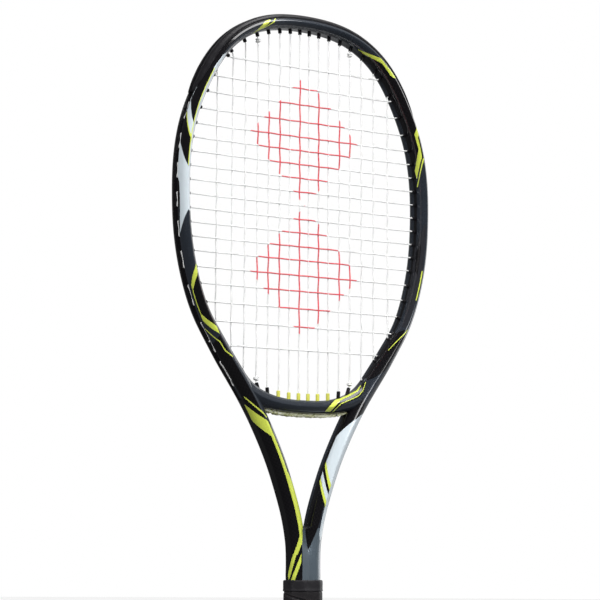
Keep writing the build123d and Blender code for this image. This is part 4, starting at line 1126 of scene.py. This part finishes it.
def wavy(p0, p1, nodes, sign, axis, end_y, step_len=1.25):
    """Points of one span of string, over and under the strings that cross it at nodes."""
    length = np.linalg.norm(p1 - p0)
    k = max(2, int(length / step_len))
    t = np.linspace(0, 1, k + 1)
    p = p0 + (p1 - p0) * t[:, None]
    c = p[:, axis]
    lo, hi = min(c[0], c[-1]), max(c[0], c[-1])
    inner = sorted((v, sg_) for v, sg_ in zip(nodes, sign) if lo + 1.0 < v < hi - 1.0)
    keys = [lo] + [v for v, _ in inner] + [hi]
    vals = [end_y] + [(0.70 if axis == 0 else 0.48) * sg_ for _, sg_ in inner] + [end_y]
    keys, vals = np.array(keys), np.array(vals)
    i = np.clip(np.searchsorted(keys, c) - 1, 0, len(keys) - 2)
    f = np.clip((c - keys[i]) / (keys[i + 1] - keys[i]), 0, 1)
    g = (1 - np.cos(math.pi * f)) / 2
    return np.column_stack([p[:, 0], vals[i] + (vals[i + 1] - vals[i]) * g, p[:, 1]])


def string_mesh(name, runs, kind, replaces_node, seg=10):
    low_of = (lambda e: kind == 0 and e[3] < -0.9 and abs(e[0]) < 55)
    corner = {"bend": 12.0, "corner": 1.3, "groove": 30.0}
    line2, bed = rounded(string_route(runs, low_of), corner)
    y0 = WEAVE if kind == 0 else -WEAVE
    pts, span = [], 0
    for i, p in enumerate(line2):
        pts.append((p[0], y0, p[1]))
        if bed[i]:
            q1 = line2[i + 1]
            if kind == 0:
                col = span
                signs = [(-1) ** (col + j) for j in range(19)]
                row = wavy(p, q1, CROSSES, signs, 1, y0)
            else:
                mains = [-v for v in HALF_MAINS[::-1]] + HALF_MAINS
                signs = [-((-1) ** (j + span)) for j in range(16)]
                row = wavy(p, q1, mains, signs, 0, y0)
            pts += [tuple(v) for v in row[1:-1]]
            span += 1
    pts = np.array(pts)
    keep = np.concatenate([[True], np.linalg.norm(np.diff(pts, axis=0), axis=1) > 0.02])
    pts = pts[keep]
    tan = np.gradient(pts, axis=0)
    tan /= np.linalg.norm(tan, axis=1, keepdims=True)
    side = np.cross(tan, np.array([0, 1.0, 0]))
    side /= np.linalg.norm(side, axis=1, keepdims=True)
    up = np.cross(side, tan)
    th = np.arange(seg) * 2 * math.pi / seg
    grid = (pts[:, None] + STRING_R * (np.cos(th)[None, :, None] * side[:, None] + np.sin(th)[None, :, None] * up[:, None]))
    grid[..., 2] += Z_BED
    v, f = sweep_grid(grid)
    # plain stencilled lozenges down the middle of the bed
    cx, cz = v[:, 0], v[:, 2] - Z_BED
    ink = np.full(len(v), -9.0)
    for hx_, hz_, at_ in STENCIL:
        ink = np.maximum(ink, (1.0 - np.abs(cx) / hx_ - np.abs(cz - at_) / hz_) * min(hx_, hz_) * 0.7)
    total = float(np.linalg.norm(np.diff(pts, axis=0), axis=1).sum())
    o = new_object(name, v, f, [STRING], floats={"ink": np.clip(ink, -4, 4) + 5.0}, sharp=60)
    finish_piece(o, "racket", "string", replaces_node)
    return total


STENCIL = ((60.0, 60.0, 62.0), (60.0, 60.0, -58.0))
main_runs = [(LOWS[i], TOPS[i]) if i % 2 == 0 else (TOPS[i], LOWS[i]) for i in range(16)]
cross_runs = [(LEFTS[j], RIGHTS[j]) if j % 2 == 0 else (RIGHTS[j], LEFTS[j]) for j in range(19)]
len_main = string_mesh("mains", main_runs, 0, "main_string")
len_cross = string_mesh("crosses", cross_runs, 1, "cross_string")
print("string lengths mm", round(len_main), round(len_cross))


# ------------------------------------------------------------------ handle
def octagon_loop(hx, hy, corner, count=160):
    """Rounded octagon as evenly spread points, from +X round to +Y, and the distance round it."""
    f_, g_ = hx * 8.0 / 17.0, hy * 6.3 / 15.0
    pts = [(hx, g_), (f_, hy), (-f_, hy), (-hx, g_), (-hx, -g_), (-f_, -hy), (f_, -hy), (hx, -g_)]
    out = []
    for i in range(8):
        p, c, n_ = (np.array(pts[(i + k) % 8]) for k in (-1, 0, 1))
        u, v = c - p, n_ - c
        lu, lv = np.linalg.norm(u), np.linalg.norm(v)
        cut = min(corner, 0.45 * lu, 0.45 * lv)
        a_, b_ = c - u / lu * cut, c + v / lv * cut
        for t in np.linspace(0, 1, 9):
            out.append((1 - t) ** 2 * a_ + 2 * t * (1 - t) * c + t * t * b_)
    out = np.array(out)
    closed = np.vstack([out, out[:1]])
    d = np.concatenate([[0], np.cumsum(np.linalg.norm(np.diff(closed, axis=0), axis=1))])
    want = np.arange(count) * d[-1] / count
    return np.column_stack([np.interp(want, d, closed[:, 0]), np.interp(want, d, closed[:, 1])]), want, d[-1]


def grip_piece():
    """The spiral wrap: each turn's bevelled edge laps over the last one."""
    z0, z1, z2 = 22.1, 171.3, 177.0
    zs = np.arange(z0, z1 + 0.01, 0.45)
    zs[-1] = z1
    count = 176
    loop_, dist, per = octagon_loop(17.0, 15.0, 2.6, count)
    centre = loop_ / np.linalg.norm(loop_, axis=1, keepdims=True)
    pitch = 26.5
    rows_, wrap, edge = [], [], []
    for z_ in zs:
        ph = (z_ - z0) / pitch + dist / per
        f = ph % 1.0
        # 0.55 mm step where the next turn lies on this one, easing down across the tape
        lift = -0.62 * step(f, 0.0, 0.045) * (1 - f) ** 1.5 * 0.0
        groove_ = 0.75 * np.exp(-((np.minimum(f, 1 - f)) * pitch / 0.75) ** 2)
        slope_ = 0.35 * f
        ends_ = 0.3 * (1 - step(np.array([min(z_ - z0, z1 - z_)]), 0, 1.2))[0]
        drop = groove_ + slope_ * 0.6 + ends_
        p = loop_ - centre * drop[:, None]
        rows_.append(np.column_stack([p, np.full(count, z_)]))
        wrap.append(np.column_stack([dist + per * np.floor(ph), f * pitch, 0 * f]))
        # weight of the high edge of each turn, which the grip material paints lighter as wear and painted sheen
        edge.append(np.exp(-((np.minimum(f, 1 - f) * pitch - 1.5) / 0.6) ** 2))
    # the skived end, thin enough for the collar to pass
    skived, _, _ = octagon_loop(16.26, 14.26, 2.4, count)
    for z_ in (z1 + 0.01, z1 + 0.3, z1 + 1.0, z1 + 3.0, z2 - 0.3, z2):
        rows_.append(np.column_stack([skived * (1.0 if z_ < z2 else 0.985), np.full(count, z_)]))
        wrap.append(np.column_stack([dist, np.full(count, z_ - z1), 0 * dist]))
        edge.append(np.zeros(count))
    outer = np.array(rows_)
    inner_loop, _, _ = octagon_loop(15.3, 13.3, 0.8, count)
    lining = np.array([np.column_stack([inner_loop, np.full(count, z_)]) for z_ in (z2, (z0 + z2) / 2, z0)])
    grid = np.concatenate([outer, lining])
    rows_n = len(grid)
    v = grid.reshape(-1, 3)
    f = tube_faces(rows_n, count, loop=True).tolist()
    quads = np.array(f)
    va, vb, vc, vd = (v[quads[:, i]] - v.mean(0) for i in range(4))
    vol = (np.einsum("ij,ij->i", va, np.cross(vb, vc)) + np.einsum("ij,ij->i", va, np.cross(vc, vd))).sum()
    if vol < 0:
        f = [k[::-1] for k in f]
    wv = np.concatenate([np.array(wrap).reshape(-1, 3), np.zeros((3 * count, 3))])
    ev = np.concatenate([np.array(edge).ravel(), np.zeros(3 * count)])
    o = new_object("grip_spiral", v, f, [GRIP], floats={"edge": ev}, vectors={"wrap": wv}, sharp=50)
    finish_piece(o, "racket", "grip", "grip_wrap")


grip_piece()


def ring_piece(name, rows_, lining, mat, body, slot, nodes, sharp=40, count=176):
    """A closed band from (z, half x, half y, corner) rows outside and inside."""
    grid = []
    for z_, hx, hy, corner in rows_ + lining:
        p, _, _ = octagon_loop(hx, hy, corner, count)
        grid.append(np.column_stack([p, np.full(count, z_)]))
    grid = np.array(grid)
    v = grid.reshape(-1, 3)
    f = tube_faces(len(grid), count, loop=True).tolist()
    quads = np.array(f)
    va, vb, vc, vd = (v[quads[:, i]] - v.mean(0) for i in range(4))
    vol = (np.einsum("ij,ij->i", va, np.cross(vb, vc)) + np.einsum("ij,ij->i", va, np.cross(vc, vd))).sum()
    if vol < 0:
        f = [k[::-1] for k in f]
    o = new_object(name, v, f, [mat], sharp=sharp)
    finish_piece(o, body, slot, *nodes)
    return o


def collar_piece():
    zl, zt = 171.6, 181.4
    count = 176
    rows_ = []
    rows_ += [(zl, 16.95, 14.95, 2.2), (zl + 0.10, 17.08, 15.08, 2.3), (zl + 0.35, 17.2, 15.2, 2.3)]
    # a moulded bead, a long plain wall and a rolled top edge
    rows_ += [(zl + 0.9, 17.26, 15.26, 2.3), (zl + 1.3, 17.22, 15.22, 2.3), (zl + 1.6, 17.08, 15.08, 2.3),
              (zl + 1.9, 17.02, 15.02, 2.3), (zl + 4.0, 17.06, 15.06, 2.3), (zl + 6.5, 17.1, 15.1, 2.4),
              (zl + 8.2, 17.08, 15.08, 2.4), (zl + 8.9, 16.98, 14.98, 2.5), (zl + 9.35, 16.8, 14.8, 2.5),
              (zl + 9.65, 16.52, 14.52, 2.5), (zl + 9.78, 16.2, 14.2, 2.5), (zt, 15.95, 13.9, 2.4)]
    grid = []
    for z_, hx, hy, corner in rows_:
        p, _, _ = octagon_loop(hx, hy, corner, count)
        grid.append(np.column_stack([p, np.full(count, z_)]))
    # the mouth that hugs the shaft: a rounded rectangle
    def mouth(hx, hy, r):
        th = np.arctan2(grid[0][:, 1], grid[0][:, 0])
        e = 3.2
        rad = (np.abs(np.cos(th) / hx) ** e + np.abs(np.sin(th) / hy) ** e) ** (-1 / e)
        return np.column_stack([rad * np.cos(th), rad * np.sin(th)])
    for z_, hx, hy in ((zt, 15.68, 11.2), (zt - 0.2, 15.6, 11.05), (zt - 0.6, 15.55, 10.98), (zl + 5.8, 15.55, 10.98)):
        grid.append(np.column_stack([mouth(hx, hy, 0), np.full(count, z_)]))
    for z_, hx, hy, corner in ((zl + 5.8, 16.62, 14.62, 1.6), (zl, 16.66, 14.66, 1.6)):
        p, _, _ = octagon_loop(hx, hy, corner, count)
        grid.append(np.column_stack([p, np.full(count, z_)]))
    grid = np.array(grid)
    v = grid.reshape(-1, 3)
    f = tube_faces(len(grid), count, loop=True).tolist()
    quads = np.array(f)
    va, vb, vc, vd = (v[quads[:, i]] - v.mean(0) for i in range(4))
    vol = (np.einsum("ij,ij->i", va, np.cross(vb, vc)) + np.einsum("ij,ij->i", va, np.cross(vc, vd))).sum()
    if vol < 0:
        f = [k[::-1] for k in f]
    o = new_object("collar_sleeve", v, f, [RUBBER], sharp=40)
    finish_piece(o, "collar", "collar_rubber", "grip_collar")


collar_piece()

# kept CAD pieces take their finishes
FINISH = {
    "string_knots": STRING, "handle_pallet_front": FOAM, "handle_pallet_back": FOAM, "leg_plug_left": FOAM,
    "leg_plug_right": FOAM, "finishing_tape": TAPE, "butt_cap": CAP, "butt_cap_door": CAP,
    "butt_cap_staples": STEEL,
}
for name, mat in FINISH.items():
    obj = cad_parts[name]
    if not obj.material_slots:
        obj.data.materials.append(mat)
    for k in range(len(obj.material_slots)):
        obj.material_slots[k].material = mat

# ------------------------------------------------------------------ studio
def stage_material():
    mat, nt, sh = material("studio_floor_look")
    obj = coords(nt)
    col = mixed(nt, ranged(nt, noise(nt, obj, 3.0, 3.0), 0.3, 0.7), (0.86, 0.86, 0.86), (0.9, 0.9, 0.9))
    nt.links.new(col, sh.inputs["Base Color"])
    sh.inputs["Roughness"].default_value = 0.7
    sh.inputs["Specular IOR Level"].default_value = 0.2
    nt.links.new(col, sh.inputs["Emission Color"])
    sh.inputs["Emission Strength"].default_value = 0.85
    return mat


ring_n = 96
th = np.arange(ring_n) * 2 * math.pi / ring_n
rad = [0.0, 1.0, 2.5, 4.5, 7.0, 10.0]
# the racket hangs a little above the floor, which leaves the butt door room to swing
FLOOR_Z = -22.0
fv = [(0.0, 0.0, FLOOR_Z)]
fv += [(r_ * math.cos(t) * 1000, r_ * math.sin(t) * 1000, FLOOR_Z) for r_ in rad[1:] for t in th]
ff = [[0, 1 + k, 1 + (k + 1) % ring_n] for k in range(ring_n)]
for i in range(len(rad) - 2):
    o0, o1 = 1 + i * ring_n, 1 + (i + 1) * ring_n
    ff += [[o0 + k, o1 + k, o1 + (k + 1) % ring_n, o0 + (k + 1) % ring_n] for k in range(ring_n)]
floor = new_object("studio_floor", fv, ff, [stage_material()], smooth=False)
floor.visible_glossy = False
floor.visible_diffuse = False

world = bpy.data.worlds.new("studio")
bpy.context.scene.world = world
world.use_nodes = True
nt = world.node_tree
nt.nodes.clear()
wout = nt.nodes.new("ShaderNodeOutputWorld")
tc = nt.nodes.new("ShaderNodeTexCoord")
dotn = nt.nodes.new("ShaderNodeVectorMath")
dotn.operation = "DOT_PRODUCT"
dotn.inputs[1].default_value = (0.96, 0.26, 0.08)
nt.links.new(tc.outputs["Generated"], dotn.inputs[0])
ramp = nt.nodes.new("ShaderNodeMapRange")
ramp.interpolation_type = "SMOOTHSTEP"
ramp.inputs[1].default_value, ramp.inputs[2].default_value = 0.10, 0.80
ramp.inputs[3].default_value, ramp.inputs[4].default_value = 0.07, 0.36
nt.links.new(dotn.outputs["Value"], ramp.inputs[0])
bg = nt.nodes.new("ShaderNodeBackground")
nt.links.new(ramp.outputs[0], bg.inputs["Strength"])
bg.inputs["Color"].default_value = (0.97, 0.985, 1.0, 1.0)
white = nt.nodes.new("ShaderNodeBackground")
white.inputs["Color"].default_value, white.inputs["Strength"].default_value = (1, 1, 1, 1), 1.0
lp = nt.nodes.new("ShaderNodeLightPath")
mixw = nt.nodes.new("ShaderNodeMixShader")
nt.links.new(lp.outputs["Is Camera Ray"], mixw.inputs[0])
nt.links.new(bg.outputs[0], mixw.inputs[1])
nt.links.new(white.outputs[0], mixw.inputs[2])
nt.links.new(mixw.outputs[0], wout.inputs[0])


def area(name, at, look, size, power, glossy=True, colour=(1, 1, 1)):
    data = bpy.data.lights.new(name, "AREA")
    data.shape, data.size, data.size_y, data.energy = "RECTANGLE", size[0], size[1], power
    data.color = colour
    o_ = bpy.data.objects.new(name, data)
    bpy.context.scene.collection.objects.link(o_)
    o_.location = at
    o_.rotation_euler = (Vector(look) - Vector(at)).to_track_quat("-Z", "Y").to_euler()
    o_.visible_glossy = glossy
    o_.visible_camera = False
    return o_


area("key_front", (0.9, -2.6, 2.0), (0, 0, 0.40), (1.6, 1.6), 98.0, glossy=False)
area("fill_left", (-2.4, -1.2, 1.2), (0, 0, 0.48), (1.6, 1.6), 58.0, glossy=False)
area("sparkle", (-0.4, -2.5, 1.8), (0, 0, 0.45), (0.5, 0.5), 7.0)
area("top_soft", (0.3, -0.6, 2.6), (0, 0, 0.5), (1.4, 1.0), 30.0)
area("rim_right", (2.4, 0.6, 1.0), (0, 0, 0.45), (1.0, 2.0), 9.0)
area("fill_back", (-0.7, 2.7, 1.8), (0, 0, 0.42), (1.6, 1.6), 70.0, glossy=False)

bpy.context.scene.view_settings.view_transform = "Standard"
bpy.context.scene.view_settings.look = "None"
bpy.context.scene.view_settings.exposure = 0.0
